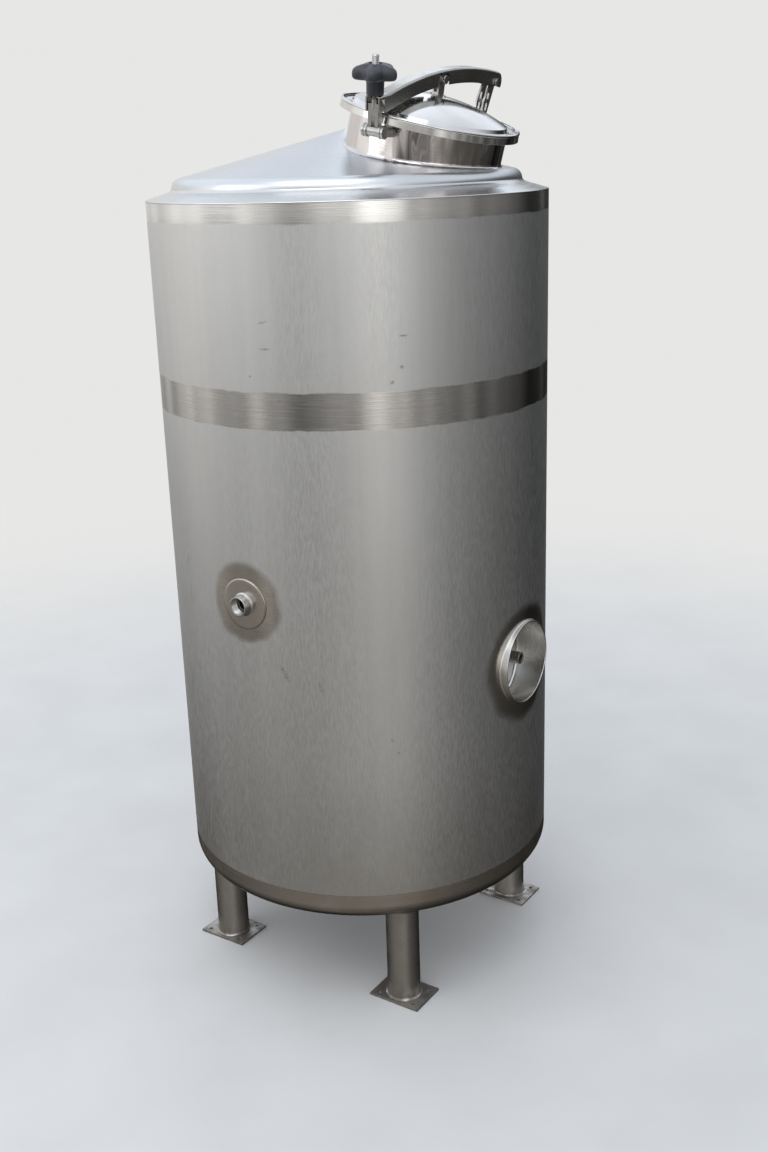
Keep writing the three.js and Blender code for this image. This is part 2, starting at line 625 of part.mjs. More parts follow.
function makeHinge() {
  const outline = new THREE.Shape(LUG_FOOT.map(([y, z]) => new THREE.Vector2(y, z)));
  outline.absarc(HINGE.y, HINGE.z, LUG_HEAD_R, LUG_HEAD_FROM, LUG_HEAD_TO, false);
  for (const [y, z] of LUG_BACK) outline.lineTo(y, z);
  outline.closePath();
  const slot = new THREE.Path();
  slot.absarc(LUG_SLOT.low.y, LUG_SLOT.low.z, LUG_SLOT.r, Math.PI, TURN, false);
  slot.absarc(LUG_SLOT.high.y, LUG_SLOT.high.z, LUG_SLOT.r, 0, Math.PI, false);
  slot.closePath();
  outline.holes.push(slot);
  const x0 = LUG_X - LUG_THICK / 2;
  const x1 = LUG_X + LUG_THICK / 2;
  const web = solid(box(2 * x1, LUG_WEB.y, LUG_WEB.z, 0, NECK_R + LUG_WEB.y / 2, LUG_WEB.middle));
  const spacer = solid(crossRod(SPACER.r, -x1, x1, SPACER.y, SPACER.z));
  const lugs = solid(plate(outline, x0, x1)).add(solid(plate(outline, -x1, -x0))).add(web).add(spacer)
    .subtract(neckKeepOut())
    .subtract(pinHole(HINGE));
  addPiece(closureFrame, 'hinge_lugs', lugs, cast);
  const pin = headedPin(HINGE, ARM_HALF_WIDTH + GAP, HINGE_HEAD_R);
  addPiece(closureFrame, 'hinge_pin', pin, cast);
}

function makeBoltLugs() {
  let lugs = solid(crossRod(BARREL_R, -BARREL_HALF, BARREL_HALF, BOLT.y, BOLT.z));
  for (const side of [-1, 1]) {
    for (const start of COLLARS) {
      const middle = side * (start + COLLAR_WIDTH / 2);
      const half = COLLAR_WIDTH / 2;
      lugs = lugs.add(solid(crossRod(COLLAR_R, middle - half, middle + half, BOLT.y, BOLT.z)));
    }
    const x = side * (COLLARS[0] + COLLAR_WIDTH / 2);
    const reach = OVER - NECK_R - BOLT.y;
    lugs = lugs.add(solid(box(COLLAR_WIDTH, reach, COLLAR_R, x, BOLT.y + reach / 2, BOLT.z - COLLAR_R / 4)));
  }
  addPiece(closureFrame, 'bolt_lugs', lugs.subtract(neckKeepOut()), cast);
}

function makeBolt() {
  const w = BOLT_HALF_WIDTH;
  const body = solid(box(2 * w, BOLT_THICK, BOLT_BODY_TOP, 0, 0, BOLT_BODY_TOP / 2))
    .subtract(solid(box(2 * BOLT_FORK_GAP, 2 * BOLT_THICK, BOLT_FORK_TOP, 0, 0, BOLT_FORK_TOP / 2)))
    .subtract(solid(crossRod(BARREL_R + 2 * GAP, -OVER, OVER, 0, 0, 32)));
  const bolt = body.add(solid(rod(STUD_R, BOLT_BODY_TOP - STUD_R, STUD_TOP, 24)));
  addPiece(boltFrame, 'swing_bolt', bolt, cast);
}

function makeKnob() {
  const outline = new THREE.Shape();
  const steps = KNOB_LOBES * 8;
  for (let i = 0; i < steps; i += 1) {
    const a = (i * TURN) / steps;
    const r = KNOB_R + KNOB_LOBE * Math.cos(KNOB_LOBES * (a - KNOB_TURN));
    const x = r * Math.sin(a);
    const y = -r * Math.cos(a);
    if (i === 0) outline.moveTo(x, y);
    else outline.lineTo(x, y);
  }
  outline.closePath();
  const low = SEAT + GAP + HUB_HEIGHT;
  const star = new THREE.ExtrudeGeometry(outline, {
    depth: KNOB_HEIGHT,
    bevelEnabled: true,
    bevelThickness: KNOB_EDGE,
    bevelSize: KNOB_EDGE,
    bevelOffset: -KNOB_EDGE,
    bevelSegments: 2,
  }).translate(0, 0, low + KNOB_EDGE);
  const hub = solid(rod(HUB_R, SEAT + GAP, low + KNOB_EDGE, 32));
  const top = low + KNOB_HEIGHT;
  const dome = solid(turned([
    [0, low],
    ...KNOB_TOP.map(([r, height]) => [r, low + height]),
    [KNOB_POCKET.r, top],
    [KNOB_POCKET.r, top - KNOB_POCKET.depth],
    [0, top - KNOB_POCKET.depth],
  ], 40));
  const bore = solid(rod(STUD_R + PIN_PLAY, SEAT - OVER, STUD_TOP + OVER, 24));
  addPiece(boltFrame, 'star_knob', solid(star).intersect(dome).add(hub).subtract(bore), black);
}

makeJacket();
makeJacketBottom();
makeLedge();
makeVessel();
makeSocket();
makeRecess();
makeLegs();
makeNeck();
makeLid();
makeArm();
makeBracket();
makeHinge();
makeBoltLugs();
makeBolt();
makeKnob();

export default tank;
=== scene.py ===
# %% [markdown]
# # An upright stainless steel storage tank
# The tank is a jacketed vessel on four tube legs, with a tilted manway on its
# cone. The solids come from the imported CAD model, and this script gives them
# their looks. It loads the model first, because every new piece is placed in
# the model's own frame: metres, +Z up, the origin on the ground under the tank.

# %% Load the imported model
import math

import bmesh
import bpy
from mathutils import Matrix, Vector


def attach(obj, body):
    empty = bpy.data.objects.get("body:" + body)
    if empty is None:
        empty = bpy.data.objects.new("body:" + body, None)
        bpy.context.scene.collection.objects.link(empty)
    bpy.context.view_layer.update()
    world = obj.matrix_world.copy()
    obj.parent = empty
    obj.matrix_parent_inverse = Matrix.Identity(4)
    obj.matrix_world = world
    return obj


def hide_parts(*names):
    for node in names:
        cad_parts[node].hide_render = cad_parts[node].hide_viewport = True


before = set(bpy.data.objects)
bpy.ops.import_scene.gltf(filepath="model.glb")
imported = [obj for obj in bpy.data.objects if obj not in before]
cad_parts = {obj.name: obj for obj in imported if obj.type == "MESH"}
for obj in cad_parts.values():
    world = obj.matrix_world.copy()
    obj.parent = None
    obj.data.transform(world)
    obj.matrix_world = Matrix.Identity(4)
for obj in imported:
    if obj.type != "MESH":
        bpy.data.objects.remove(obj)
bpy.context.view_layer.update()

# %% [markdown]
# ## Sizes
# A fabricator's drawing gives sizes in millimetres, so the pieces below are
# modelled in millimetres too and brought to metres in one place. The numbers
# are the same as in the solids' own source, so a new piece lies on its solid.
# The manway has three frames: the lid's, the arm's, and the bolt's in the arm.

# %% Sizes in millimetres
MM = 0.001
JACKET_R = 400.0
JACKET_SHEET = 2.0
JACKET_LOW = 282.3
RIM_Z = 1640.0
VESSEL_R = 348.0
VESSEL_SHEET = 3.0
BOTTOM_Z = 222.0
CONE_APEX = 1765.0
CONE_SLOPE = math.radians(14)
SOCKET_Z = 895.0
RECESS_Z = 714.0
AIR = 0.3  # between pieces that touch
ROUND = 192  # facets round a full circle

LID_CENTRE = Matrix.Translation((199.2, 0, 1786.5))
LID_PLACE = LID_CENTRE @ Matrix.Rotation(math.radians(15.5), 4, "Y")
CLOSURE_PLACE = LID_CENTRE @ Matrix.Rotation(math.radians(10), 4, "Y")
BOLT_LOCAL = Matrix.Translation((0, -185, -32)) @ Matrix.Rotation(math.radians(10), 4, "X")
BOLT_PLACE = CLOSURE_PLACE @ BOLT_LOCAL
print("jacket:", 2 * JACKET_R, "mm across, its rim at", RIM_Z, "mm")

# %% [markdown]
# ## The camera
# The photograph was taken from eye height with the camera tipped down and
# leaning a little to one side. A camera could be aimed with a Track To
# constraint, but that has no lean, so its matrix is built from the three
# angles. The lens comes from how fast the tank tapers in the picture, and its
# length is for a sensor 36 mm wide.

# %% Camera at the photograph's viewing angle
CAMERA_PLACE = Vector((1.5675, -2.2386, 1.7206))
CAMERA_TURN = 0.593133
CAMERA_DOWN = 0.313346
CAMERA_LEAN = -0.0320
CAMERA_LENS = 40.966
SENSOR_WIDTH = 36.0


def aim_camera():
    """A camera that stands where the photograph was taken and looks down at the tank."""
    data = bpy.data.cameras.new("photo_camera")
    data.lens = CAMERA_LENS
    data.sensor_width = SENSOR_WIDTH
    camera = bpy.data.objects.new("photo_camera", data)
    turn = Matrix.Rotation(CAMERA_TURN, 4, "Z")
    down = Matrix.Rotation(math.pi / 2 - CAMERA_DOWN, 4, "X")
    lean = Matrix.Rotation(CAMERA_LEAN, 4, "Z")
    camera.matrix_world = Matrix.Translation(CAMERA_PLACE) @ turn @ down @ lean
    bpy.context.scene.collection.objects.link(camera)
    bpy.context.scene.camera = camera
    return camera


camera = aim_camera()
bpy.context.scene.view_settings.view_transform = "Standard"
print("camera at", [round(v, 3) for v in camera.location])

# %% [markdown]
# ## A few helpers for turned and cut metal
# Most of a tank is turned or rolled, so its pieces start as a profile that is
# spun round an axis. A profile is a list of points (radius, height), and a
# third number rounds that corner, which is how a maker would call out a fillet.
# The alternative, a cylinder with edited rings, hides the drawing's numbers.

# %% Profiles
SAME_POINT = 0.002  # points closer than this are one
SAME_CORNER = 0.01  # the same, at a sheet's seam and in the model's own solids


def arc(x, y, radius, start, end, steps=10):
    """Points on an arc round (x, y), with both angles in degrees."""
    turns = [math.radians(start + (end - start) * i / steps) for i in range(steps + 1)]
    return [(x + radius * math.cos(t), y + radius * math.sin(t)) for t in turns]


def rounded(points, closed=True, steps=4):
    """The same outline, with a fillet at each corner that has a third number."""
    outline = []
    for i, point in enumerate(points):
        inside = closed or 0 < i < len(points) - 1
        if len(point) < 3 or not inside:
            outline.append(tuple(point[:2]))
            continue
        corner = Vector(point[:2])
        back = (Vector(points[i - 1][:2]) - corner).normalized()
        on = (Vector(points[(i + 1) % len(points)][:2]) - corner).normalized()
        half = back.angle(on) / 2
        centre = corner + (back + on).normalized() * point[2] / math.sin(half)
        spoke = corner + back * point[2] / math.tan(half) - centre
        sweep = spoke.angle_signed(corner + on * point[2] / math.tan(half) - centre)
        for k in range(steps + 1):
            turn = Matrix.Rotation(-sweep * k / steps, 2)
            outline.append(tuple(centre + turn @ spoke))
    return outline


def spun(profile, closed=True, facets=ROUND):
    """Turns a profile round Z. An open one starts and ends on the axis."""
    bm = bmesh.new()
    verts = [bm.verts.new((r, 0, z)) for r, z in profile]
    pairs = list(zip(verts, verts[1:] + verts[:1]))
    edges = [bm.edges.new(pair) for pair in (pairs if closed else pairs[:-1])]
    bmesh.ops.spin(bm, geom=verts + edges, cent=(0, 0, 0), axis=(0, 0, 1),
                   angle=math.tau, steps=facets, use_merge=True)
    bmesh.ops.remove_doubles(bm, verts=bm.verts, dist=SAME_POINT)
    bmesh.ops.recalc_face_normals(bm, faces=bm.faces)
    return bm


sample = spun(rounded([(8, 0, 1), (10, 0, 1), (10, 5, 1), (8, 5, 1)]))
print("a turned ring has", len(sample.faces), "faces")
sample.free()

# %% [markdown]
# Where two pieces pass through each other, a fabricator saws a hole. Here a
# Boolean does it, with the exact solver, because it keeps the solid closed.
# The result is read back into a bmesh, so no modifier or cutter stays behind.

# %% Cutting and joining


def block(x, y, z):
    """A box from the lowest to the highest value on each axis."""
    bm = bmesh.new()
    bmesh.ops.create_cube(bm, size=1)
    size = Vector((x[1] - x[0], y[1] - y[0], z[1] - z[0]))
    middle = Vector((sum(x), sum(y), sum(z))) / 2
    bm.transform(Matrix.Translation(middle) @ Matrix.Diagonal(size.to_4d()))
    return bm


def rod(radius, low, high, facets=64):
    """A solid round bar along Z."""
    bm = bmesh.new()
    bmesh.ops.create_cone(bm, cap_ends=True, segments=facets, radius1=radius, radius2=radius,
                          depth=high - low, matrix=Matrix.Translation((0, 0, (low + high) / 2)))
    return bm


def cross_rod(radius, low, high, y=0, z=0, facets=64):
    """A solid round bar along X, through the point (y, z)."""
    bm = rod(radius, low, high, facets)
    bm.transform(Matrix.Translation((0, y, z)) @ Matrix.Rotation(math.pi / 2, 4, "Y"))
    return bm


def scratch_object(bm):
    mesh = bpy.data.meshes.new("scratch")
    bm.to_mesh(mesh)
    bm.free()
    made = bpy.data.objects.new("scratch", mesh)
    bpy.context.scene.collection.objects.link(made)
    return made


def carve(body, tool, operation="DIFFERENCE"):
    """One solid cut by another, joined with it or kept inside it."""
    pair = [scratch_object(body), scratch_object(tool)]
    boolean = pair[0].modifiers.new("carve", "BOOLEAN")
    boolean.operation = operation
    boolean.solver = "EXACT"
    boolean.object = pair[1]
    result = bmesh.new()
    result.from_object(pair[0], bpy.context.evaluated_depsgraph_get())
    for made in pair:
        bpy.data.meshes.remove(made.data)
    return result


def joined(*solids):
    whole = solids[0]
    for solid in solids[1:]:
        whole = carve(whole, solid, "UNION")
    return whole


def moved(bm, place):
    bm.transform(place)
    return bm


sample = carve(block((0, 9), (0, 9), (0, 9)), rod(3, -1, 10, 16))
print("a drilled block has", len(sample.faces), "faces")
sample.free()

# %% [markdown]
# Every piece is finished in the same way: brought to metres, shaded smooth with
# its real corners kept sharp, given its material, and tied to the body it moves
# with. A weighted normal modifier keeps flat faces flat beside small roundings.

# %% Finishing a piece
SHARP = math.radians(34)
BROKEN = math.radians(40)  # a sharper corner is broken, as with a file
print("corners of more than", round(math.degrees(SHARP)), "degrees stay sharp")


def shade(bm, sharp):
    for face in bm.faces:
        face.smooth = True
    for edge in bm.edges:
        edge.smooth = len(edge.link_faces) == 2 and edge.calc_face_angle(0) < sharp


def make_piece(name, bm, material, body, replaced, place=Matrix.Identity(4), sharp=SHARP):
    """A finished piece in metres, tied to its body, with the solids it stands for hidden."""
    bm.transform(Matrix.Scale(MM, 4) @ place)
    shade(bm, sharp)
    mesh = bpy.data.meshes.new(name)
    bm.to_mesh(mesh)
    bm.free()
    mesh.materials.append(material)
    piece = bpy.data.objects.new(name, mesh)
    bpy.context.scene.collection.objects.link(piece)
    even = piece.modifiers.new("even_shading", "WEIGHTED_NORMAL")
    even.keep_sharp = True
    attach(piece, body)
    if replaced:
        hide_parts(*replaced)
    print(name, "faces:", len(mesh.polygons))


def soften(bm, width, segments=2):
    """Breaks the sharp corners of a machined piece."""
    edges = [e for e in bm.edges if len(e.link_faces) == 2 and e.calc_face_angle(0) > BROKEN]
    bmesh.ops.bevel(bm, geom=edges, offset=width, affect="EDGES", segments=segments,
                    profile=0.5, material=-1, clamp_overlap=True)
    return bm

# %% [markdown]
# ## Short calls for shader nodes
# A finish is a small network of nodes, and the same few links come back in all
# of them. The helpers below write them out once. They all start from Object
# coordinates, so a pattern stays on the steel from wherever it is looked at.

# %% Node helpers


def node(tree, kind, settings=(), **inputs):
    """One shader node. An input is a value, or the socket that feeds it."""
    made = tree.nodes.new("ShaderNode" + kind)
    for key, value in dict(settings).items():
        setattr(made, key, value)
    for key, value in inputs.items():
        feed(tree, made.inputs[key.replace("_", " ")], value)
    return made


def feed(tree, socket, value):
    if isinstance(value, bpy.types.NodeSocket):
        tree.links.new(value, socket)
    else:
        socket.default_value = value


def calc(tree, operation, *values):
    made = tree.nodes.new("ShaderNodeMath")
    made.operation = operation
    for socket, value in zip(made.inputs, values):
        feed(tree, socket, value)
    return made.outputs[0]


def times(tree, first, second):
    return calc(tree, "MULTIPLY", first, second)


def plus(tree, first, second):
    return calc(tree, "ADD", first, second)


def distance(tree, first, second):
    """How long the line is whose legs are these two."""
    return calc(tree, "SQRT", plus(tree, times(tree, first, first), times(tree, second, second)))


def colour_mix(tree, share, first, second):
    made = node(tree, "Mix", {"data_type": "RGBA"})
    for index, value in ((0, share), (6, first), (7, second)):
        feed(tree, made.inputs[index], value)
    return made.outputs[2]


def blend_values(tree, share, first, second):
    """The first value where the share is 0, the second where it is 1."""
    made = node(tree, "Mix", Factor=share)
    feed(tree, made.inputs[2], first)
    feed(tree, made.inputs[3], second)
    return made.outputs[0]


def remap(tree, value, low, high, to_low=0.0, to_high=1.0):
    """Eases from one value to another between two limits, and holds outside them."""
    made = node(tree, "MapRange", {"interpolation_type": "SMOOTHSTEP"}, Value=value,
                From_Min=low, From_Max=high, To_Min=to_low, To_Max=to_high)
    return made.outputs[0]


def grain(tree, place, stretch, detail=3.0, low=0.35, high=0.65):
    """Noise with its own scale on each axis, spread to the whole range from 0 to 1."""
    spread = node(tree, "Mapping", Vector=place, Scale=stretch)
    made = node(tree, "TexNoise", Vector=spread.outputs[0], Scale=1.0, Detail=detail)
    return node(tree, "MapRange", Value=made.outputs["Fac"], From_Min=low, From_Max=high).outputs[0]


def scaled(tree, colour, level):
    """A colour made brighter or darker, also past white."""
    made = node(tree, "VectorMath", {"operation": "SCALE"}, Scale=level)
    made.inputs[0].default_value = colour[:3]
    return made.outputs[0]


def between(tree, value, low, high, ease):
    """1 inside a band, 0 outside it."""
    return times(tree, remap(tree, value, low - ease, low + ease),
                remap(tree, value, high - ease, high + ease, 1.0, 0.0))


def new_finish(name, colour, metallic, roughness):
    """A material whose fixed numbers sit on the shader's own sockets."""
    material = bpy.data.materials.new(name)
    material.use_nodes = True
    tree = material.node_tree
    shader = tree.nodes["Principled BSDF"]
    shader.inputs["Base Color"].default_value = (*colour, 1)
    shader.inputs["Metallic"].default_value = metallic
    shader.inputs["Roughness"].default_value = roughness
    place = node(tree, "TexCoord").outputs["Object"]
    return material, tree, shader, place


def raise_bump(tree, shader, height, reach):
    made = node(tree, "Bump", Height=height, Distance=reach, Strength=1.0)
    tree.links.new(made.outputs[0], shader.inputs["Normal"])


print("node helpers: 14")

# %% [markdown]
# ## The jacket's satin sheet
# The jacket is rolled from satin stainless sheet. The welds were ground flush
# and polished, which left smooth bands round the rim and round the middle, and
# rubbed patches round the socket and the recess. A texture picture could hold
# all this, but here the height and the distance round the tank drive the mix,
# because then the bands lie exactly on the seams of the model.

# %% The jacket's colours and the places of its marks
SATIN = (0.62, 0.62, 0.615, 1)
SATIN_STREAK = (0.54, 0.54, 0.535, 1)
SATIN_CLOUD = (0.50, 0.495, 0.485, 1)
# painted shade: the jacket's colour darkens toward its bottom
LOW_PAINTED_SHADE = (0.40, 0.375, 0.345, 1)
BAND = (0.54, 0.525, 0.51, 1)
BAND_LINE = (0.48, 0.465, 0.45, 1)
RIM_BAND = (0.66, 0.655, 0.645, 1)
PATCH = (0.45, 0.41, 0.35, 1)
PATCH_LIGHT = (0.53, 0.50, 0.455, 1)
SCUFF = (0.33, 0.31, 0.295, 1)
RUST = (0.33, 0.245, 0.19, 1)
POLISHED_BANDS = [(1.605, 1.650), (1.2415, 1.310)]  # lowest and highest height in metres
SOCKET_SPOT = (-math.pi / 2 * JACKET_R * MM, SOCKET_Z * MM, 0.080)  # round the tank, up, radius
RECESS_SPOT = (0.0, RECESS_Z * MM, 0.120)
# Angle round the tank in degrees, height, half length, half width, tilt in degrees
SCUFFS = [(-78.6, 1.437, 0.010, 0.0025, 12), (-78.4, 1.389, 0.013, 0.002, 2),
          (-41.9, 1.408, 0.010, 0.002, 0), (-42.6, 1.353, 0.004, 0.004, 0),
          (-45.3, 1.326, 0.004, 0.0035, 0), (-83.2, 1.339, 0.003, 0.003, 0),
          (-75.2, 1.296, 0.004, 0.003, 0), (-48.2, 0.625, 0.004, 0.004, 0),
          (-46.6, 0.598, 0.004, 0.003, 0), (-113.7, 0.375, 0.050, 0.0035, 82),
          (-115.5, 0.950, 0.012, 0.006, 70), (-115.0, 0.880, 0.030, 0.003, 86)]
RUST_MARKS = [(-78.0, 0.763, 0.022, 0.0050, -62), (-67.6, 0.740, 0.012, 0.0045, -72)]
print("marks on the jacket:", len(SCUFFS) + len(RUST_MARKS))

# %% Bands, patches and marks on the jacket


def round_and_up(tree, place):
    """Distance round the jacket from its +X side, and height."""
    axes = node(tree, "SeparateXYZ", Vector=place).outputs
    angle = calc(tree, "ARCTAN2", axes[1], axes[0])
    return times(tree, angle, JACKET_R * MM), axes[2]


def polished_bands(tree, height):
    band = 0.0
    for low, high in POLISHED_BANDS:
        band = calc(tree, "MAXIMUM", band, between(tree, height, low, high, 0.002))
    return band


def spot(tree, arc_length, height, centre, ragged):
    """1 inside a round patch with a ragged edge."""
    across = calc(tree, "SUBTRACT", arc_length, centre[0])
    up = calc(tree, "SUBTRACT", height, centre[1])
    away = plus(tree, distance(tree, across, up), ragged)
    return remap(tree, away, centre[2] * 0.86, centre[2] * 1.1, 1.0, 0.0)


def marks(tree, arc_length, height, places, breakup):
    """Small scuffs, each a stretched spot at its own place and tilt."""
    flat = node(tree, "CombineXYZ", X=arc_length, Y=height).outputs[0]
    total = 0.0
    for angle, up, long, wide, tilt in places:
        centre = (math.radians(angle) * JACKET_R * MM, up, 0)
        local = node(tree, "Mapping", {"vector_type": "TEXTURE"}, Vector=flat, Location=centre,
                     Rotation=(0, 0, math.radians(tilt)), Scale=(long, wide, 1))
        away = node(tree, "VectorMath", {"operation": "LENGTH"}, Vector=local.outputs[0])
        mark = remap(tree, away.outputs["Value"], 0.5, 1.3, 1.0, 0.0)
        total = calc(tree, "MAXIMUM", total, mark)
    return times(tree, total, breakup)


# %% The jacket's finish


def satin_jacket():
    """Streaks and clouds in the satin, with painted shade toward the bottom, bands, patches and marks laid
    over them in turn.
    """
    material, tree, shader, place = new_finish("satin_jacket", SATIN[:3], 1.0, 0.42)
    arc_length, height = round_and_up(tree, place)
    streaks = grain(tree, place, (55, 55, 1.6), 4.0)
    lapping = grain(tree, place, (420, 420, 60), 2.0)
    lines = grain(tree, place, (6, 6, 1500), 2.0)
    clouds = grain(tree, place, (4.2, 4.2, 2.6), 3.0)
    ragged = remap(tree, grain(tree, place, (16, 16, 16), 3.0), 0, 1, -0.003, 0.003)
    wavy = plus(tree, height, times(tree, ragged, 0.45))
    band = polished_bands(tree, wavy)
    patch = calc(tree, "MAXIMUM", spot(tree, arc_length, height, SOCKET_SPOT, ragged),
                 spot(tree, arc_length, height, RECESS_SPOT, ragged))
    breakup = remap(tree, grain(tree, place, (300, 300, 300), 2.0), 0.1, 0.7)
    scuffed = marks(tree, arc_length, height, SCUFFS, breakup)
    rusted = marks(tree, arc_length, height, RUST_MARKS, breakup)

    # painted shade: the colour darkens toward the jacket's bottom, mottled by the clouds
    low = times(tree, remap(tree, wavy, 0.28, 0.62, 1.0, 0.0), remap(tree, clouds, 0, 1, 0.25, 0.6))
    in_rim = between(tree, height, *POLISHED_BANDS[0], 0.02)
    polish = colour_mix(tree, in_rim, colour_mix(tree, lines, BAND, BAND_LINE), RIM_BAND)
    rubbed = colour_mix(tree, clouds, PATCH, PATCH_LIGHT)
    tone = SATIN
    for share, weight, colour in ((streaks, 0.28, SATIN_STREAK), (clouds, 0.3, SATIN_CLOUD),
                                  (low, 1.0, LOW_PAINTED_SHADE), (band, 0.9, polish), (patch, 0.85, rubbed),
                                  (scuffed, 0.8, SCUFF), (rusted, 0.85, RUST)):
        tone = colour_mix(tree, times(tree, share, weight), tone, colour)
    tree.links.new(tone, shader.inputs["Base Color"])

    polished = calc(tree, "MAXIMUM", band, patch)
    rough = blend_values(tree, polished, remap(tree, lapping, 0, 1, 0.38, 0.46),
                         remap(tree, lines, 0, 1, 0.11, 0.19))
    worn = times(tree, plus(tree, scuffed, rusted), 0.2)
    tree.links.new(plus(tree, rough, worn), shader.inputs["Roughness"])

    fine = blend_values(tree, polished, lapping, lines)
    buckle = times(tree, grain(tree, place, (2.3, 2.3, 1.7), 1.0), 14.0)
    raise_bump(tree, shader, plus(tree, fine, buckle), 0.00003)
    return material


JACKET_FINISH = satin_jacket()
print("satin_jacket nodes:", len(JACKET_FINISH.node_tree.nodes))

# %% [markdown]
# ## Polished and plain steel
# The dished bottom, the ledge and the cone are polished sheet, so their grain
# is much finer and the tone comes mostly from what they reflect. One recipe
# serves them all: a tone with clouds of a second tone, fine lines that follow
# the direction of polishing, and a slow waviness that bends the reflections.

# %% Polished sheet
SOIL = (0.16, 0.135, 0.11, 1)


def polished_sheet(name, light, dark, rough, lines, cloud_size=7.0, wave=0.00025, dirt=None):
    """lines is the grain's scale on each axis. dirt is where soil is thick, and where it ends."""
    material, tree, shader, place = new_finish(name, light, 1.0, sum(rough) / 2)
    clouds = grain(tree, place, (cloud_size,) * 3, 4.0, 0.3, 0.7)
    fine = grain(tree, place, lines, 2.0)
    tone = colour_mix(tree, clouds, (*light, 1), (*dark, 1))
    tone = colour_mix(tree, times(tree, fine, 0.2), tone, (*dark, 1))
    worn = plus(tree, times(tree, clouds, 0.7), times(tree, fine, 0.3))
    roughness = remap(tree, worn, 0.1, 0.9, *rough)
    if dirt:
        height = node(tree, "SeparateXYZ", Vector=place).outputs[2]
        soiled = times(tree, remap(tree, height, *dirt, 1.0, 0.0),
                       grain(tree, place, (40, 40, 25), 4.0, 0.4, 0.6))
        tone = colour_mix(tree, times(tree, soiled, 0.8), tone, SOIL)
        roughness = plus(tree, roughness, times(tree, soiled, 0.35))
    tree.links.new(tone, shader.inputs["Base Color"])
    tree.links.new(roughness, shader.inputs["Roughness"])
    slow = grain(tree, place, (9, 9, 9), 1.0)
    raise_bump(tree, shader, plus(tree, slow, times(tree, fine, 0.006)), wave)
    return material


# Lighter and darker tone, least and most roughness, scale of the lines, and where they
# differ from the usual ones, the scale of the clouds, the height of the waves, and the dirt
SHEETS = {
    "bottom": ((0.56, 0.52, 0.48), (0.36, 0.315, 0.27), (0.20, 0.40), (8, 8, 1400), 11.0, 0.00035),
    "ledge": ((0.68, 0.68, 0.675), (0.60, 0.595, 0.585), (0.20, 0.30), (9, 9, 900), 8.0, 0.0001),
    "cone": ((0.66, 0.675, 0.69), (0.60, 0.615, 0.63), (0.26, 0.34), (9, 9, 900), 5.0, 0.0001),
    "leg": ((0.56, 0.54, 0.52), (0.40, 0.375, 0.35), (0.22, 0.36), (18, 18, 1600), 18.0, 0.00015,
            (0.0, 0.07)),
    "plate": ((0.52, 0.505, 0.48), (0.34, 0.315, 0.285), (0.38, 0.56), (260, 30, 260), 24.0, 0.0001,
              (0.0, 0.011)),
    "vessel": ((0.52, 0.52, 0.51), (0.42, 0.41, 0.40), (0.35, 0.5), (10, 10, 900)),
    "fitting": ((0.53, 0.52, 0.50), (0.36, 0.345, 0.325), (0.24, 0.42), (420, 420, 420), 45.0, 0.00012),
    "arm": ((0.50, 0.49, 0.465), (0.36, 0.35, 0.325), (0.18, 0.32), (900, 12, 900), 16.0, 0.00012),
    "recess": ((0.80, 0.785, 0.76), (0.58, 0.56, 0.53), (0.20, 0.34), (1400, 9, 9), 9.0),
}
STEEL = {name: polished_sheet(f"{name}_steel", *sheet) for name, sheet in SHEETS.items()}
print("polished finishes:", len(STEEL))

# %% [markdown]
# ## The mirror finish of the manway
# The lid was spun and buffed in a lathe, which leaves faint rings about its
# own tilted axis, and the neck was buffed round. A Mapping node turns Object
# coordinates into the lid's frame, so the rings share its centre.

# %% Buffed steel


def buffed(name, light, dark, rough, rings, wave, buckles):
    """rings are in turns to a metre, and buckles are the slow waves' scale on each axis."""
    material, tree, shader, place = new_finish(name, light, 1.0, sum(rough) / 2)
    back = LID_PLACE.inverted()
    local = node(tree, "Mapping", Vector=place, Location=back.translation * MM,
                 Rotation=back.to_euler())
    axes = node(tree, "SeparateXYZ", Vector=local.outputs[0]).outputs
    along = times(tree, plus(tree, distance(tree, axes[0], axes[1]), axes[2]), rings)
    turned = node(tree, "TexNoise", {"noise_dimensions": "1D"}, W=along, Scale=1.0, Detail=3.0)
    turned = turned.outputs["Fac"]
    smear = grain(tree, place, (16, 16, 16), 4.0, 0.35, 0.7)
    tree.links.new(colour_mix(tree, smear, (*light, 1), (*dark, 1)), shader.inputs["Base Color"])
    share = plus(tree, times(tree, turned, 0.6), times(tree, smear, 0.4))
    tree.links.new(remap(tree, share, 0.2, 0.85, *rough), shader.inputs["Roughness"])
    slow = grain(tree, place, buckles, 1.0)
    raise_bump(tree, shader, plus(tree, slow, times(tree, turned, 0.02)), wave)
    return material


STEEL["lid"] = buffed("lid_steel", (0.70, 0.69, 0.675), (0.60, 0.59, 0.575), (0.09, 0.20), 700.0,
                      0.0002, (11, 11, 6))
STEEL["neck"] = buffed("neck_steel", (0.68, 0.65, 0.635), (0.56, 0.525, 0.525), (0.04, 0.09), 260.0,
                       0.0011, (30, 30, 7))
print("steel finishes:", len(STEEL))

# %% [markdown]
# ## The knob's plastic and the gasket's rubber
# The star knob is moulded in a black thermoset: it has a fine grain and its
# lobes are rubbed a little smoother and greyer by hands. The gasket is white
# food rubber, which is soft and matt with a faint bloom.

# %% Plastic and rubber


def moulded_plastic():
    material, tree, shader, place = new_finish("black_plastic", (0.022, 0.024, 0.03), 0.0, 0.42)
    pits = grain(tree, place, (1500, 1500, 1500), 2.0)
    wear = grain(tree, place, (30, 30, 30), 3.0)
    tone = colour_mix(tree, wear, (0.018, 0.020, 0.026, 1), (0.040, 0.042, 0.050, 1))
    tree.links.new(tone, shader.inputs["Base Color"])
    tree.links.new(remap(tree, wear, 0, 1, 0.34, 0.5), shader.inputs["Roughness"])
    raise_bump(tree, shader, pits, 0.00006)
    return material


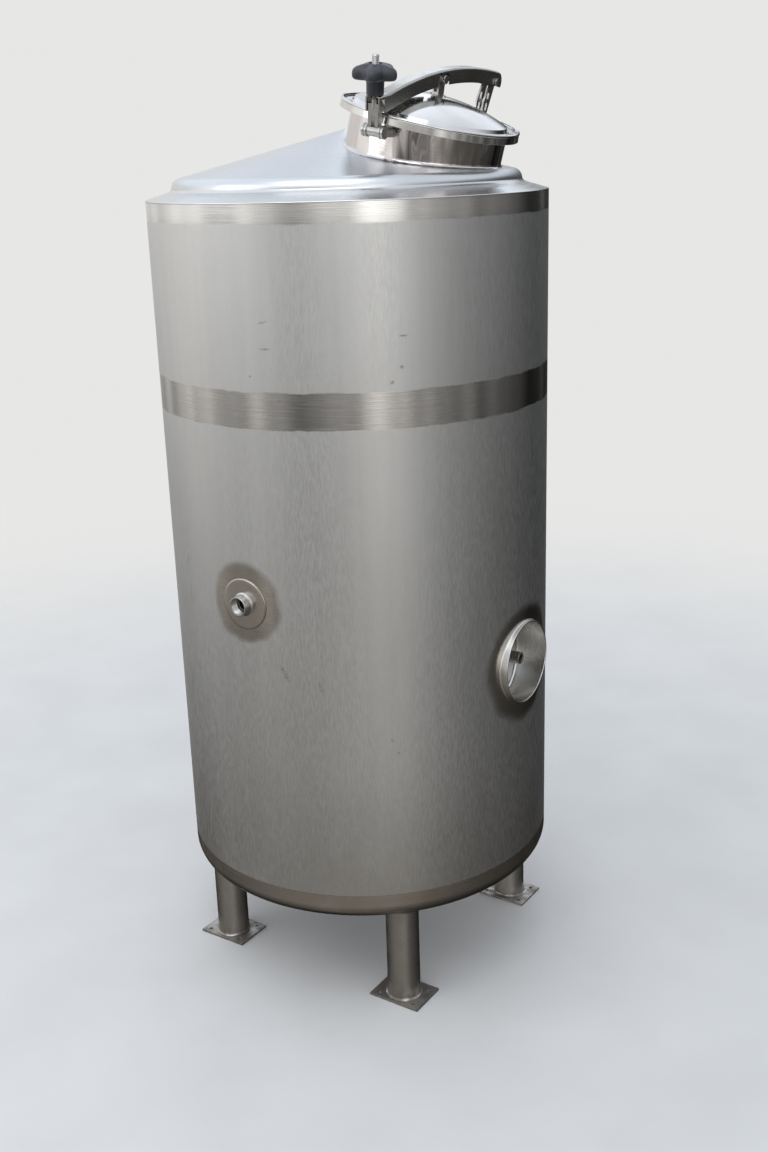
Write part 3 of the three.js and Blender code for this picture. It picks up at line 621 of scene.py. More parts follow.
def white_rubber():
    material, tree, shader, place = new_finish("white_rubber", (0.74, 0.72, 0.67), 0.0, 0.7)
    bloom = grain(tree, place, (60, 60, 60), 4.0)
    tone = colour_mix(tree, bloom, (0.76, 0.74, 0.69, 1), (0.62, 0.59, 0.53, 1))
    tree.links.new(tone, shader.inputs["Base Color"])
    tree.links.new(remap(tree, bloom, 0, 1, 0.62, 0.78), shader.inputs["Roughness"])
    raise_bump(tree, shader, grain(tree, place, (700, 700, 700), 2.0), 0.00005)
    return material


KNOB_FINISH = moulded_plastic()
GASKET_FINISH = white_rubber()
print("soft finishes: 2")

# %% [markdown]
# ## The jacket as one rolled sheet
# The model carries the jacket in sixteen pieces, for collision. The real one is
# a flat sheet that was rolled and welded, so it is made that way here: a flat
# grid gets its two holes while it is still flat, and is then rolled up. Cutting
# the holes with a Boolean after rolling would leave long thin faces round them,
# and the satin would shade badly there.

# %% The flat sheet with its holes
CELLS_ROUND = 180
CELL = math.tau * JACKET_R / CELLS_ROUND
RECESS_R = 87.0  # outside the sleeve
PAD_R = 51.5
ROWS = []
for low, high, cells in ((JACKET_LOW, RECESS_Z, 31), (RECESS_Z, SOCKET_Z, 13), (SOCKET_Z, RIM_Z, 53)):
    ROWS += [low + (high - low) * i / cells for i in range(cells)]
ROWS.append(RIM_Z)
# Cells from +X, row, radius, and half the width in cells of the square that is taken out
RECESS_HOLE = (0, ROWS.index(RECESS_Z), RECESS_R + AIR, 8)
SOCKET_HOLE = (-CELLS_ROUND // 4, ROWS.index(SOCKET_Z), PAD_R + AIR, 5)
LIFTED = 30.0  # a bridge between two loops in one plane can twist, so the circle starts above


def cut_round_hole(bm, cells, row, radius, half):
    """Takes a square of cells out of the sheet and joins its edge to a circle."""
    x, height = cells * CELL, ROWS[row]
    low, high = ROWS[row - half], ROWS[row + half]
    middles = {face: face.calc_center_median() for face in bm.faces}
    inside = [f for f, m in middles.items() if abs(m.x - x) < half * CELL and low < m.y < high]
    bmesh.ops.delete(bm, geom=inside, context="FACES")
    near = {v for v in bm.verts if abs(v.co.x - x) < (half + 0.5) * CELL and low - 1 < v.co.y < high + 1}
    square = [e for e in bm.edges if e.is_boundary and near.issuperset(e.verts)]
    circle = bmesh.ops.create_circle(bm, segments=8 * half, radius=radius,
                                     matrix=Matrix.Translation((x, height, LIFTED)))["verts"]
    rim = {e for v in circle for e in v.link_edges}
    bmesh.ops.bridge_loops(bm, edges=square + list(rim))
    for vert in circle:  # round when seen from the side, so a little wider along the sheet
        vert.co = (x + JACKET_R * math.asin((vert.co.x - x) / JACKET_R), vert.co.y, 0)
    spokes = [e for v in circle for e in v.link_edges if e not in rim]
    bmesh.ops.subdivide_edges(bm, edges=spokes, cuts=3, use_grid_fill=True)


def flat_sheet():
    bm = bmesh.new()
    bmesh.ops.create_grid(bm, x_segments=CELLS_ROUND, y_segments=len(ROWS) - 1, size=1.0)
    for vert in bm.verts:
        row = round((vert.co.y + 1) / 2 * (len(ROWS) - 1))
        vert.co = (vert.co.x * math.pi * JACKET_R, ROWS[row], 0)
    for hole in (RECESS_HOLE, SOCKET_HOLE):
        cut_round_hole(bm, *hole)
    return bm


sheet = flat_sheet()
print("flat sheet:", len(sheet.faces), "faces")

# %% Roll the sheet, weld its seam and give it its thickness
UPPER = [f"jacket_upper_{i}" for i in range(1, 9)]
LOWER = [f"jacket_lower_{i}" for i in range(1, 9)]


def rolled_jacket(bm):
    """Wraps the sheet round Z, where its two ends meet, and thickens it inward."""
    for vert in bm.verts:
        turn = vert.co.x / JACKET_R
        vert.co = (JACKET_R * math.cos(turn), JACKET_R * math.sin(turn), vert.co.y)
    bmesh.ops.remove_doubles(bm, verts=bm.verts, dist=SAME_CORNER)
    wall = bmesh.ops.extrude_face_region(bm, geom=bm.faces[:], use_keep_orig=True)["geom"]
    shrink = 1 - JACKET_SHEET / JACKET_R
    inside = [part for part in wall if isinstance(part, bmesh.types.BMVert)]
    bmesh.ops.scale(bm, vec=(shrink, shrink, 1), verts=inside)
    bmesh.ops.recalc_face_normals(bm, faces=bm.faces)
    reach = max(math.hypot(v.co.x, v.co.y) for v in bm.verts)
    depth = min(math.hypot(v.co.x, v.co.y) for v in bm.verts)
    print("jacket radius from", round(depth, 2), "to", round(reach, 2))
    return bm


make_piece("jacket_shell", rolled_jacket(sheet), JACKET_FINISH, "tank", UPPER + LOWER)

# %% [markdown]
# ## Bottom, ledge and cone
# These were spun or pressed from flat discs, so each is one profile turned
# round the tank. The bottom's corner has the knuckle radius of its press tool.
# The ledge closes the gap round the vessel. It is welded to both of them, and
# the bead at its inner edge is part of its profile.

# %% Bottom and ledge
OUTLET_R = 27.0
CORNER_R = 35.0
BOTTOM_TOP = JACKET_LOW - AIR


def dished_bottom():
    centre = (JACKET_R - CORNER_R, BOTTOM_Z + CORNER_R)
    outside = arc(*centre, CORNER_R, -90, 0, 14)
    inside = arc(*centre, CORNER_R - JACKET_SHEET, 0, -90, 14)
    rings = (OUTLET_R + AIR, 90, 180, 270)
    flat_out = [(r, BOTTOM_Z) for r in rings]
    flat_in = [(r, BOTTOM_Z + JACKET_SHEET) for r in rings[::-1]]
    edge = [(JACKET_R, BOTTOM_TOP), (JACKET_R - JACKET_SHEET, BOTTOM_TOP)]
    return spun(flat_out + outside + edge + inside + flat_in)


def sloping_ledge():
    """From the rim of the jacket up to the vessel, with the weld at its inner edge."""
    foot = RIM_Z + AIR
    inner = VESSEL_R + AIR
    rise = 16.0
    slope = rise / (JACKET_R - inner)
    top = [(r, foot + 2 + (JACKET_R - r) * slope) for r in (387, 372, 360, inner + 5)]
    weld = [(inner + 2.2, foot + 2.9 + rise), (inner + 0.6, foot + 4.6 + rise), (inner, foot + 6 + rise)]
    return spun(rounded([(inner, foot + rise - 2), (JACKET_R - 1.2, foot, 0.6), (JACKET_R, foot + 0.2),
                         (JACKET_R, foot + 2, 1.6)] + top + weld))


make_piece("jacket_bottom_dish", dished_bottom(), STEEL["bottom"], "tank",
           ["jacket_bottom"])
make_piece("sloping_ledge", sloping_ledge(), STEEL["ledge"], "tank", ["ledge_ring"])

# %% [markdown]
# The vessel's cone and its rolled knuckle are one piece on the real tank. The
# mouth of the manway is sawn through it square to the lid, not to the cone, so
# the saw is a rod in the lid's frame.

# %% Cone with the manway's mouth
KNUCKLE_R = 21.0
NECK_R = 150.0
MOUTH_R = 147.0
CONE_NODES = [f"vessel_top_{i}" for i in range(1, 5)] + ["vessel_shoulder"]


def cone_outline(offset):
    """From the skirt over the knuckle to the apex, at a distance from the outer face."""
    across = VESSEL_R - KNUCKLE_R
    centre = CONE_APEX - across * math.tan(CONE_SLOPE) - KNUCKLE_R / math.cos(CONE_SLOPE)
    knuckle = arc(across, centre, KNUCKLE_R + offset, 0, 76, 12)
    top = CONE_APEX + offset / math.cos(CONE_SLOPE)
    rings = (315, 290, 260, 225, 190, 150, 110, 70, 35, 10)
    return knuckle + [(r, top - r * math.tan(CONE_SLOPE)) for r in rings] + [(0, top)]


def cone_with_mouth():
    skirt = [(VESSEL_R - VESSEL_SHEET, RIM_Z), (VESSEL_R, RIM_Z)]
    bm = spun(cone_outline(-VESSEL_SHEET)[::-1] + skirt + cone_outline(0), closed=False)
    return carve(bm, moved(rod(MOUTH_R, -160, 20, 96), LID_PLACE))


make_piece("vessel_cone", cone_with_mouth(), STEEL["cone"], "tank", CONE_NODES)

# %% [markdown]
# ## Pieces that stand on a curved sheet
# The neck stands on the cone, and the socket and the recess on the round
# jacket, so their ends and their welds have to follow that sheet. Each profile
# gives such points as a height above the sheet, marked by a large negative
# number. After the spin each marked point slides along the piece's own axis
# until it is at that height above the sheet.

# %% Following a sheet
ON_JACKET = -2000.0
ON_VESSEL = -4000.0
ON_CONE = -6000.0
MARK_REACH = 1000.0  # how far over its mark a height may be


def side_place(angle, height):
    """Where a piece stands that comes straight out of the side: local Z points outward."""
    turn = math.radians(angle)
    out = Vector((math.cos(turn), math.sin(turn), 0))
    along = Vector((-math.sin(turn), math.cos(turn), 0))
    axes = Matrix((along, (0, 0, 1), out)).transposed().to_4x4()
    return Matrix.Translation((0, 0, height)) @ axes


def cone_height(vert, offset):
    """Height in the lid's frame at which a line along its axis is this far above the cone."""
    low, high = -170.0, 0.0
    for _ in range(26):
        middle = (low + high) / 2
        p = LID_PLACE @ Vector((vert.x, vert.y, middle))
        above = (p.z - CONE_APEX + math.hypot(p.x, p.y) * math.tan(CONE_SLOPE)) * math.cos(CONE_SLOPE)
        low, high = (middle, high) if above < offset else (low, middle)
    return high


def settle(bm):
    """Slides each marked point to its height above the sheet it belongs to."""
    for vert in bm.verts:
        co = vert.co
        if co.z < ON_CONE + MARK_REACH:
            co.z = cone_height(co, co.z - ON_CONE)
        elif co.z < ON_VESSEL + MARK_REACH:
            co.z = math.sqrt((VESSEL_R + co.z - ON_VESSEL) ** 2 - co.x ** 2)
        elif co.z < ON_JACKET + MARK_REACH:
            co.z = math.sqrt((JACKET_R + co.z - ON_JACKET) ** 2 - co.x ** 2)
    bmesh.ops.recalc_face_normals(bm, faces=bm.faces)
    return bm


lowest = cone_height(Vector((NECK_R, 0, 0)), 0.0)
print("the neck's low side is", round(-lowest), "mm under the lid's plane")

# %% [markdown]
# The neck is a short tube that was rolled and welded on the cone. The weld's
# bead belongs to the neck's profile, so it runs round with the saddle curve
# where the two meet. A bead as a separate swept curve would leave a seam.

# %% Manway neck, with its weld on the cone


def manway_neck():
    weld = [(NECK_R + 4.2, ON_CONE + 0.15), (NECK_R + 2.6, ON_CONE + 1.0), (NECK_R + 1.2, ON_CONE + 2.4),
            (NECK_R + 0.3, ON_CONE + 4.4)]
    wall = [(NECK_R, ON_CONE + 7), (NECK_R, -22), (NECK_R, -13, 0.9), (MOUTH_R, -13, 0.9), (MOUTH_R, -22)]
    return settle(spun(rounded([(MOUTH_R, ON_CONE + AIR)] + weld + wall)))


make_piece("welded_neck", manway_neck(), STEEL["neck"], "tank", ["manway_neck"], LID_PLACE)

# %% [markdown]
# The socket is a turned bush, welded through a round pad that was rolled to
# the jacket's curve. The recess is a short sleeve through the insulation, open
# to the vessel's wall. Both are turned, and then settled on their sheets. The
# thread in the socket is a row of ridges, because nobody sees its helix.

# %% Socket, its pad and the recess
SOCKET_PLACE = side_place(-90, SOCKET_Z)
RECESS_PLACE = side_place(0, RECESS_Z)
PAD_TOP = 2.5
SOCKET_R = 19.5
BORE_R = 16.5
THREAD_PITCH = 2.3
RECESS_BORE_R = 83.5
RECESS_FACE = 407.0  # from the tank's axis


def socket_pad():
    hole = SOCKET_R + 0.4
    flat = [(r, ON_JACKET + PAD_TOP) for r in (25, 31, 37, 43, 48)]
    edge = [(50.2, ON_JACKET + 2.4), (51.1, ON_JACKET + 1.8), (PAD_R, ON_JACKET + 0.9),
            (PAD_R, ON_JACKET - JACKET_SHEET)]
    start = [(hole, ON_JACKET - JACKET_SHEET), (hole, ON_JACKET + PAD_TOP)]
    return settle(spun(start + flat + edge, facets=96))


def threaded_socket():
    mouth = JACKET_R + PAD_TOP + 19
    weld = [(SOCKET_R, ON_JACKET + 2.4), (23.6, ON_JACKET + 2.6), (22.4, ON_JACKET + 3.4),
            (21.0, ON_JACKET + 4.2), (20.0, ON_JACKET + 5.4), (SOCKET_R, ON_JACKET + 7)]
    thread = []
    for turn in range(7):
        depth = mouth - 2.4 - turn * THREAD_PITCH
        thread += [(BORE_R, depth), (BORE_R - 1.1, depth - THREAD_PITCH / 2)]
    outside = [(SOCKET_R, ON_VESSEL + AIR)] + weld
    end = [(SOCKET_R, mouth, 1.1), (17.2, mouth, 0.5)]
    inside = thread + [(BORE_R, mouth - 19.5), (12, mouth - 20, 0.5), (12, ON_VESSEL + AIR)]
    return settle(spun(rounded(outside + end + inside), facets=96))


def recess_sleeve():
    bead = ((0, -1.2), (0.2, 0.1), (2.4, 0.1), (1.7, 0.6), (0.9, 1.1), (0.3, 1.9), (0, 2.8))
    weld = [(RECESS_R + out, ON_JACKET + up) for out, up in bead]
    rim = [(RECESS_R, RECESS_FACE, 1.4), (RECESS_BORE_R, RECESS_FACE, 1.4), (RECESS_BORE_R, 385),
           (RECESS_BORE_R, ON_VESSEL + 8), (82.6, ON_VESSEL + 3.4)]
    seat = [(80.6, ON_VESSEL + 1.2), (79, ON_VESSEL + 0.4)]
    return settle(spun(rounded([(RECESS_R, ON_VESSEL + AIR)] + weld + rim + seat)))


make_piece("rolled_pad", socket_pad(), STEEL["bottom"], "tank", ["socket_pad"],
           SOCKET_PLACE)
make_piece("threaded_socket", threaded_socket(), STEEL["fitting"], "tank", ["socket"],
           SOCKET_PLACE)
make_piece("recess_collar", recess_sleeve(), STEEL["recess"], "tank",
           ["recess_sleeve"], RECESS_PLACE)

# %% [markdown]
# The nozzle in the recess is a bit of tube through the vessel's wall, and the
# outlet underneath is a tube that ends in a ferrule for a clamp. A ferrule's
# face is flat and its back is sloped, so that the clamp pulls the two together.

# %% The nozzle inside the recess, and the outlet underneath
NOZZLE_PLACE = side_place(0, RECESS_Z + 5)
NOZZLE_R = 12.5
NOZZLE_BORE_R = 8.0
FERRULE_R = 32.0
FERRULE_Z = 150.0


def recess_nozzle():
    tip = VESSEL_R + 44
    root = [(NOZZLE_R, ON_VESSEL - 2.9), (NOZZLE_R, ON_VESSEL + 0.4)]
    weld = [(16.4, ON_VESSEL + 0.4), (14.6, ON_VESSEL + 1.4), (13.2, ON_VESSEL + 2.8),
            (NOZZLE_R, ON_VESSEL + 5)]
    end = [(NOZZLE_R, tip, 0.7), (NOZZLE_BORE_R, tip, 0.7), (NOZZLE_BORE_R, ON_VESSEL - 2.9)]
    return settle(spun(rounded(root + weld + end), facets=64))


def bottom_outlet():
    top = 285.0
    ferrule = [(25, FERRULE_Z, 0.4), (FERRULE_R, FERRULE_Z, 0.8), (FERRULE_R, FERRULE_Z + 3, 0.5),
               (OUTLET_R, FERRULE_Z + 6, 2)]
    weld = [(OUTLET_R, 214), (28.2, 219.2), (31, 221.8), (OUTLET_R, 221.9)]
    return spun(rounded(ferrule + weld + [(OUTLET_R, top), (25, top)]), facets=96)


make_piece("stub_nozzle", recess_nozzle(), STEEL["fitting"], "tank", ["recess_nozzle"],
           NOZZLE_PLACE)
make_piece("outlet_ferrule", bottom_outlet(), STEEL["leg"], "tank", ["bottom_outlet"])

# %% [markdown]
# ## Legs and foot plates
# A leg is a piece of tube with a weld at each end: a wide one on the bottom,
# which catches the light in the photograph, and a small one on its plate. The
# plates are sheared from flat bar and drilled, so they are a box with four
# holes, and only their sharp corners are broken.

# %% Legs on their plates
LEG_CORNERS = [(1, -1), (1, 1), (-1, 1), (-1, -1)]
LEG_OUT = 334 * math.sqrt(0.5)
LEG_R = 35.0
LEG_BORE_R = 32.0
PLATE = (59.5, 44.5, 5.0)  # half length, half width, thickness
HOLE_X, HOLE_Y = 42.5, 31.5


def tube_leg():
    low = [(LEG_BORE_R, 5.1), (38.6, 5.1), (37.0, 6.0), (35.7, 7.6), (LEG_R, 10.2)]
    wall = [(LEG_R, height) for height in (60, 120, 180, 212.5)]
    high = [(35.5, 216.4), (36.6, 219.2), (38.6, 221.1), (41.2, 221.9), (LEG_BORE_R, 221.9)]
    return spun(low + wall + high, facets=96)


def foot_plate():
    long, wide, thick = PLATE
    plate = block((-long, long), (-wide, wide), (0, thick))
    for x in (-HOLE_X, HOLE_X):
        for y in (-HOLE_Y, HOLE_Y):
            plate = carve(plate, moved(rod(4, -5, 10, 40), Matrix.Translation((x, y, 0))))
    return soften(plate, 0.5)


for i, (sx, sy) in enumerate(LEG_CORNERS, 1):
    corner = Matrix.Translation((sx * LEG_OUT, sy * LEG_OUT, 0))
    make_piece(f"tube_leg_{i}", tube_leg(), STEEL["leg"], "tank", [f"leg_{i}"], corner)
    make_piece(f"drilled_plate_{i}", foot_plate(), STEEL["plate"], "tank",
               [f"foot_plate_{i}"], corner)

# %% [markdown]
# ## The lid
# The lid was spun from one disc: a domed middle, a gutter and a rim that is
# rolled down over the neck. Its profile has a small fillet at every bend,
# because sheet can't be bent sharp, and those fillets make the bright rings
# that the photograph shows.

# %% Spun lid
DOME_R = 146.0
DOME_TOP = 33.0
LID_SHEET = 2.0


def spun_lid():
    """The dome starts 3 mm up, at the gutter's inner side, and is part of a sphere."""
    rise = DOME_TOP - 3
    sphere = (DOME_R ** 2 + rise ** 2) / (2 * rise)
    edge = math.degrees(math.asin(DOME_R / sphere))
    outer = arc(0, DOME_TOP - sphere, sphere, 90 - edge, 90, 20)
    inner = arc(0, DOME_TOP - sphere, sphere - LID_SHEET, 90, 90 - edge, 20)
    outer[-1] = (0, outer[-1][1])  # exactly on the axis, where the spin closes
    inner[0] = (0, inner[0][1])
    under = [(148.2, -7, 2.5), (170.2, -7, 2.5), (170.2, -17.5, 0.6)]
    rim = [(172.2, -17.5, 0.6), (171.4, -6.4, 0.6)] + arc(169.1, -3.2, 3.2, -45, 215, 12)
    rim += [(166.9, -5, 0.8), (150, -5, 3.2)]
    return spun(rounded(inner + under + rim + outer, closed=False), closed=False)


make_piece("spun_lid", spun_lid(), STEEL["lid"], "lid", ["lid"], LID_PLACE)

# %% [markdown]
# ## The arm over the lid
# The arm is a pressed channel: a rounded back with two sides, open below. Its
# section is spun part of the way round, about the centre of its long curve,
# and the straight nose is the same section extruded. A curve object with a
# bevel could sweep it too, but wouldn't end square. Then the notch round the
# bracket, the slot for the bolt and the pin holes are cut, as in a press.

# %% The arm's section
ARM_HALF = 15.0
ARM_SHEET = 3.0
ARM_SIDE = -28.0  # lower edge of its sides, under its top
ARM_CORNER = 5.0


def arm_section():
    inside = ARM_HALF - ARM_SHEET
    side = ARM_HALF - ARM_CORNER
    outer = arc(side, -ARM_CORNER, ARM_CORNER, 12, 90, 7) + arc(-side, -ARM_CORNER, ARM_CORNER, 90, 168, 7)
    inner = arc(-side, -ARM_CORNER, 2, 168, 90, 4) + arc(side, -ARM_CORNER, 2, 90, 12, 4)
    right = [(ARM_HALF, ARM_SIDE, 0.8), (ARM_HALF, -ARM_CORNER)]
    left = [(-ARM_HALF, -ARM_CORNER), (-ARM_HALF, ARM_SIDE, 0.8), (-inside, ARM_SIDE, 0.8),
            (-inside, -ARM_CORNER)]
    return rounded(right + outer + left + inner + [(inside, -ARM_CORNER), (inside, ARM_SIDE, 0.8)], steps=3)


def section_loop(place):
    bm = bmesh.new()
    verts = [bm.verts.new(place @ Vector((across, 0, height))) for across, height in arm_section()]
    edges = [bm.edges.new(pair) for pair in zip(verts, verts[1:] + verts[:1])]
    return bm, verts + edges


def capped(bm):
    open_edges = [e for e in bm.edges if e.is_boundary]
    bmesh.ops.holes_fill(bm, edges=open_edges, sides=0)
    bmesh.ops.recalc_face_normals(bm, faces=bm.faces)
    return bm


print("points in the arm's section:", len(arm_section()))

# %% Pressed arm
HINGE = (208.0, 61.0)  # across the tank and up, in the closure's frame
BRACKET = (10.0, 61.0)
SEAT = 62.0  # of the knob, over the bolt's own pivot
SLOT_HALF = 9.0
PIN_HOLE_R = 5.3
ARM_FRONT = Vector((-205, 19.5))  # ends of the curve's chord, across the tank and up
ARM_REAR = Vector((215, 81))
ARM_RISE = 27.0  # of the curve over its chord
SWEEP = (-189, 236)  # where the curve starts and ends, across the tank


def arm_curve():
    chord = ARM_REAR - ARM_FRONT
    radius = ((chord.length / 2) ** 2 + ARM_RISE ** 2) / (2 * ARM_RISE)
    upward = Vector((-chord.y, chord.x)).normalized()
    centre = (ARM_FRONT + ARM_REAR) / 2 + upward * (ARM_RISE - radius)
    start, end = [math.asin((centre.x - y) / radius) for y in SWEEP]
    hub = Matrix.Translation((0, centre.x, centre.y))
    bm, loop = section_loop(hub @ Matrix.Rotation(start, 4, "X") @ Matrix.Translation((0, 0, radius)))
    bmesh.ops.spin(bm, geom=loop, cent=(0, centre.x, centre.y), axis=(1, 0, 0), angle=end - start,
                   steps=56)
    return capped(bm)


def arm_nose():
    bm, loop = section_loop(Matrix.Translation((0, 25, SEAT)))
    edges = [part for part in loop if isinstance(part, bmesh.types.BMEdge)]
    swept = bmesh.ops.extrude_edge_only(bm, edges=edges)["geom"]
    ahead = [part for part in swept if isinstance(part, bmesh.types.BMVert)]
    bmesh.ops.translate(bm, vec=(0, -33, 0), verts=ahead)
    return capped(bm)


def pressed_arm():
    wide = (-40, 40)
    past_hinge = carve(block(wide, (HINGE[0], 260), (0, 120)), cross_rod(22, -50, 50, *HINGE, 96))
    past_seat = carve(block(wide, (-60, 0), (20, 110)), cross_rod(SEAT, -50, 50, facets=192))
    nose = moved(carve(arm_nose(), past_seat), BOLT_LOCAL)
    arm = joined(carve(arm_curve(), past_hinge), nose)
    arm = carve(arm, block(wide, (BRACKET[0] - 21, BRACKET[0] + 21), (0, 72)))
    arm = joined(arm, soften(block((0.2, 6.2), (2, 18), (52, 76)), 1.0))
    slot = joined(rod(SLOT_HALF, 20, 82), block((-SLOT_HALF, SLOT_HALF), (-60, 0), (20, 110)))
    arm = carve(arm, moved(slot, BOLT_LOCAL))
    for pin in (HINGE, BRACKET):
        arm = carve(arm, cross_rod(PIN_HOLE_R, -50, 50, *pin))
    return arm


make_piece("pressed_arm", pressed_arm(), STEEL["arm"], "lid", ["lid_arm"],
           CLOSURE_PLACE, math.radians(24))

# %% [markdown]
# ## Fittings of the closure
# The lugs, the bracket and the pins are cut and turned pieces, and the model's
# solids already have their shapes. A copy of each is enough: its facets are
# merged, its corners are broken like a filed edge, and it is shaded smooth.

# %% Filed copies of the model's fittings


def filed_copy(node_name, width):
    bm = bmesh.new()
    bm.from_mesh(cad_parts[node_name].data)
    bm.transform(Matrix.Scale(1 / MM, 4))
    bmesh.ops.remove_doubles(bm, verts=bm.verts, dist=SAME_CORNER)
    bmesh.ops.dissolve_limit(bm, angle_limit=math.radians(1.5), verts=bm.verts, edges=bm.edges)
    return soften(bm, width)


FILED = [("cut_hinge_lugs", "hinge_lugs", "tank", 0.6), ("turned_hinge_pin", "hinge_pin", "tank", 0.7),
         ("cut_bolt_lugs", "bolt_lugs", "tank", 0.6), ("forked_bracket", "lid_bracket", "lid", 0.6),
         ("turned_bracket_pin", "bracket_pin", "lid", 0.7)]
for name, node_name, body, width in FILED:
    make_piece(name, filed_copy(node_name, width), STEEL["fitting"], body, [node_name])

# %% [markdown]
# Two button heads show beside the bracket's foot, at the top of the dome. They
# are trim, so the model leaves them out, and they ride with the lid.

# %% Button heads on the dome
HEAD = [(0, 31.0), (4.2, 31.0), (4.2, 32.9), (3.7, 34.2), (2.4, 35.1), (0, 35.5)]
HEAD_X = 14.0


def button_heads():
    places = [Matrix.Translation((x, BRACKET[0], 0)) for x in (-HEAD_X, HEAD_X)]
    return joined(*[moved(spun(HEAD, closed=False, facets=32), place) for place in places])


make_piece("dome_button_heads", button_heads(), STEEL["fitting"], "lid", [], LID_PLACE)

# %% [markdown]
# ## Swing bolt and star knob
# The bolt is a forked block with a threaded stud. A thread as a helix would be
# thousands of thin faces, and at this size turned ridges read the same, so the
# stud is a turned profile. The knob is moulded, with five fat lobes and one
# broad dome over them, so it is a stack of rings: the lower ones follow the
# lobes, and the upper ones turn into circles toward the pocket in the middle.

# %% Swing bolt
STUD_TOP = 130.0
STUD_R = 6.5
STUD_ROOT_R = 5.95
STUD_PITCH = 1.4
BARREL_R = 10.1  # with the air round the barrel between the lugs


def threaded_stud():
    ridges = []
    height = 54.0
    while height < STUD_TOP - 3.5:
        ridges += [(STUD_R, height), (STUD_ROOT_R, height + STUD_PITCH / 2)]
        height += STUD_PITCH
    tip = [(STUD_R, STUD_TOP - 3.2), (5.9, STUD_TOP - 1.2), (4.6, STUD_TOP), (0, STUD_TOP)]
    return spun([(0, 40), (STUD_R, 40)] + ridges + tip, closed=False, facets=40)


def swing_bolt():
    body = carve(block((-11, 11), (-6, 6), (0, 48)), block((-4, 4), (-12, 12), (-2, 26)))
    body = soften(carve(body, cross_rod(BARREL_R, -20, 20)), 0.9, 3)
    return joined(body, threaded_stud())


make_piece("forked_swing_bolt", swing_bolt(), STEEL["fitting"], "bolt",
           ["swing_bolt"], BOLT_PLACE)

# %% [markdown]
# The knob's underside and sides follow its lobes at a growing inset, like the
# courses of a mould. Its top blends from the lobes into circles. A metaball or
# a subdivided star would be quicker, but neither keeps the size of a lobe.

# %% The knob's rings
KNOB_LOW = SEAT + AIR
HUB_TOP = KNOB_LOW + 26
LOBES = 5
KNOB_R = 35.5
LOBE_DEPTH = 6.0
FIRST_LOBE = 24.7  # in degrees
POCKET_R = 12.5
KNOB_BORE_R = 6.8
RING_TURNS = [math.radians(3 * i) for i in range(120)]
# Inset from the outline, height over the hub
LOBED_RINGS = [(19, 0.0), (8, 0.0), (4.5, 0.6), (2.0, 2.1), (0.6, 4.4), (0, 7.0), (0, 11.0), (0.3, 13.6),
               (1.2, 16.2), (2.8, 18.4), (5.2, 20.4), (8.2, 22.0)]
# Share of the way in to the pocket, height
DOME_RINGS = [(0.2, 23.2), (0.4, 24.5), (0.62, 25.7), (0.84, 26.6), (0.95, 26.9), (1.0, 26.6)]
# Radius, height
POCKET_RINGS = [(12.1, 24.7), (11.0, 24.1), (KNOB_BORE_R, 24.1), (KNOB_BORE_R, 0.0)]


def lobed(angle):
    return KNOB_R + LOBE_DEPTH * math.cos(LOBES * (angle - math.radians(FIRST_LOBE)))


def knob_rings():
    last = LOBED_RINGS[-1][0]
    for inset, height in LOBED_RINGS:
        yield [(lobed(a) - inset, height) for a in RING_TURNS]
    for share, height in DOME_RINGS:
        yield [((lobed(a) - last) * (1 - share) + POCKET_R * share, height) for a in RING_TURNS]
    for radius, height in POCKET_RINGS:
        yield [(radius, height)] * len(RING_TURNS)


print("rings of the knob:", len(list(knob_rings())))

# %% Star knob


def star_knob():
    bm = bmesh.new()
    rings = []
    for ring in knob_rings():
        places = [(r * math.sin(a), -r * math.cos(a), HUB_TOP + z) for (r, z), a in zip(ring, RING_TURNS)]
        rings.append([bm.verts.new(place) for place in places])
    for low, high in zip(rings, rings[1:] + rings[:1]):
        for i in range(len(RING_TURNS)):
            bm.faces.new((low[i - 1], low[i], high[i], high[i - 1]))
    bmesh.ops.recalc_face_normals(bm, faces=bm.faces)
    hub = spun(rounded([(KNOB_BORE_R, KNOB_LOW), (15.6, KNOB_LOW, 1.0), (16.0, HUB_TOP - 5),
                        (18.5, HUB_TOP + 0.5, 2), (KNOB_BORE_R, HUB_TOP + 0.5)]), facets=96)
    return joined(bm, hub)


make_piece("star_knob_moulding", star_knob(), KNOB_FINISH, "knob", ["star_knob"],
           BOLT_PLACE, math.radians(50))

# %% [markdown]
# ## Solids that stay as they are
# The vessel's wall and floor are seen only through a hole or two, and the
# gasket is a thin ring between the neck and the lid. Their solids are right
# already, so each keeps its mesh and gets its finish.

# %% Finishes on the model's own solids
KEPT = {f"vessel_wall_{i}": STEEL["vessel"] for i in range(1, 9)}
KEPT |= {"vessel_bottom": STEEL["vessel"], "lid_gasket": GASKET_FINISH}
for name, material in KEPT.items():
    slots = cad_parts[name].data.materials
    slots.clear()
    slots.append(material)
print("solids kept:", len(KEPT))

# %% [markdown]
# ## The studio
# Steel shows its surroundings, so the light is built as a room: broad bands of
# brightness at the height of the horizon, a bright sky and a dimmer ground.
# The bands make the streaks in the neck and the slow falloff on the satin, and
# a busier ring just under the horizon makes the stripes in the bright bands.
# An image of a real room would do the same, but it couldn't be tuned by hand.
# The camera sees a plain pale backdrop instead, and the floor fades into it.

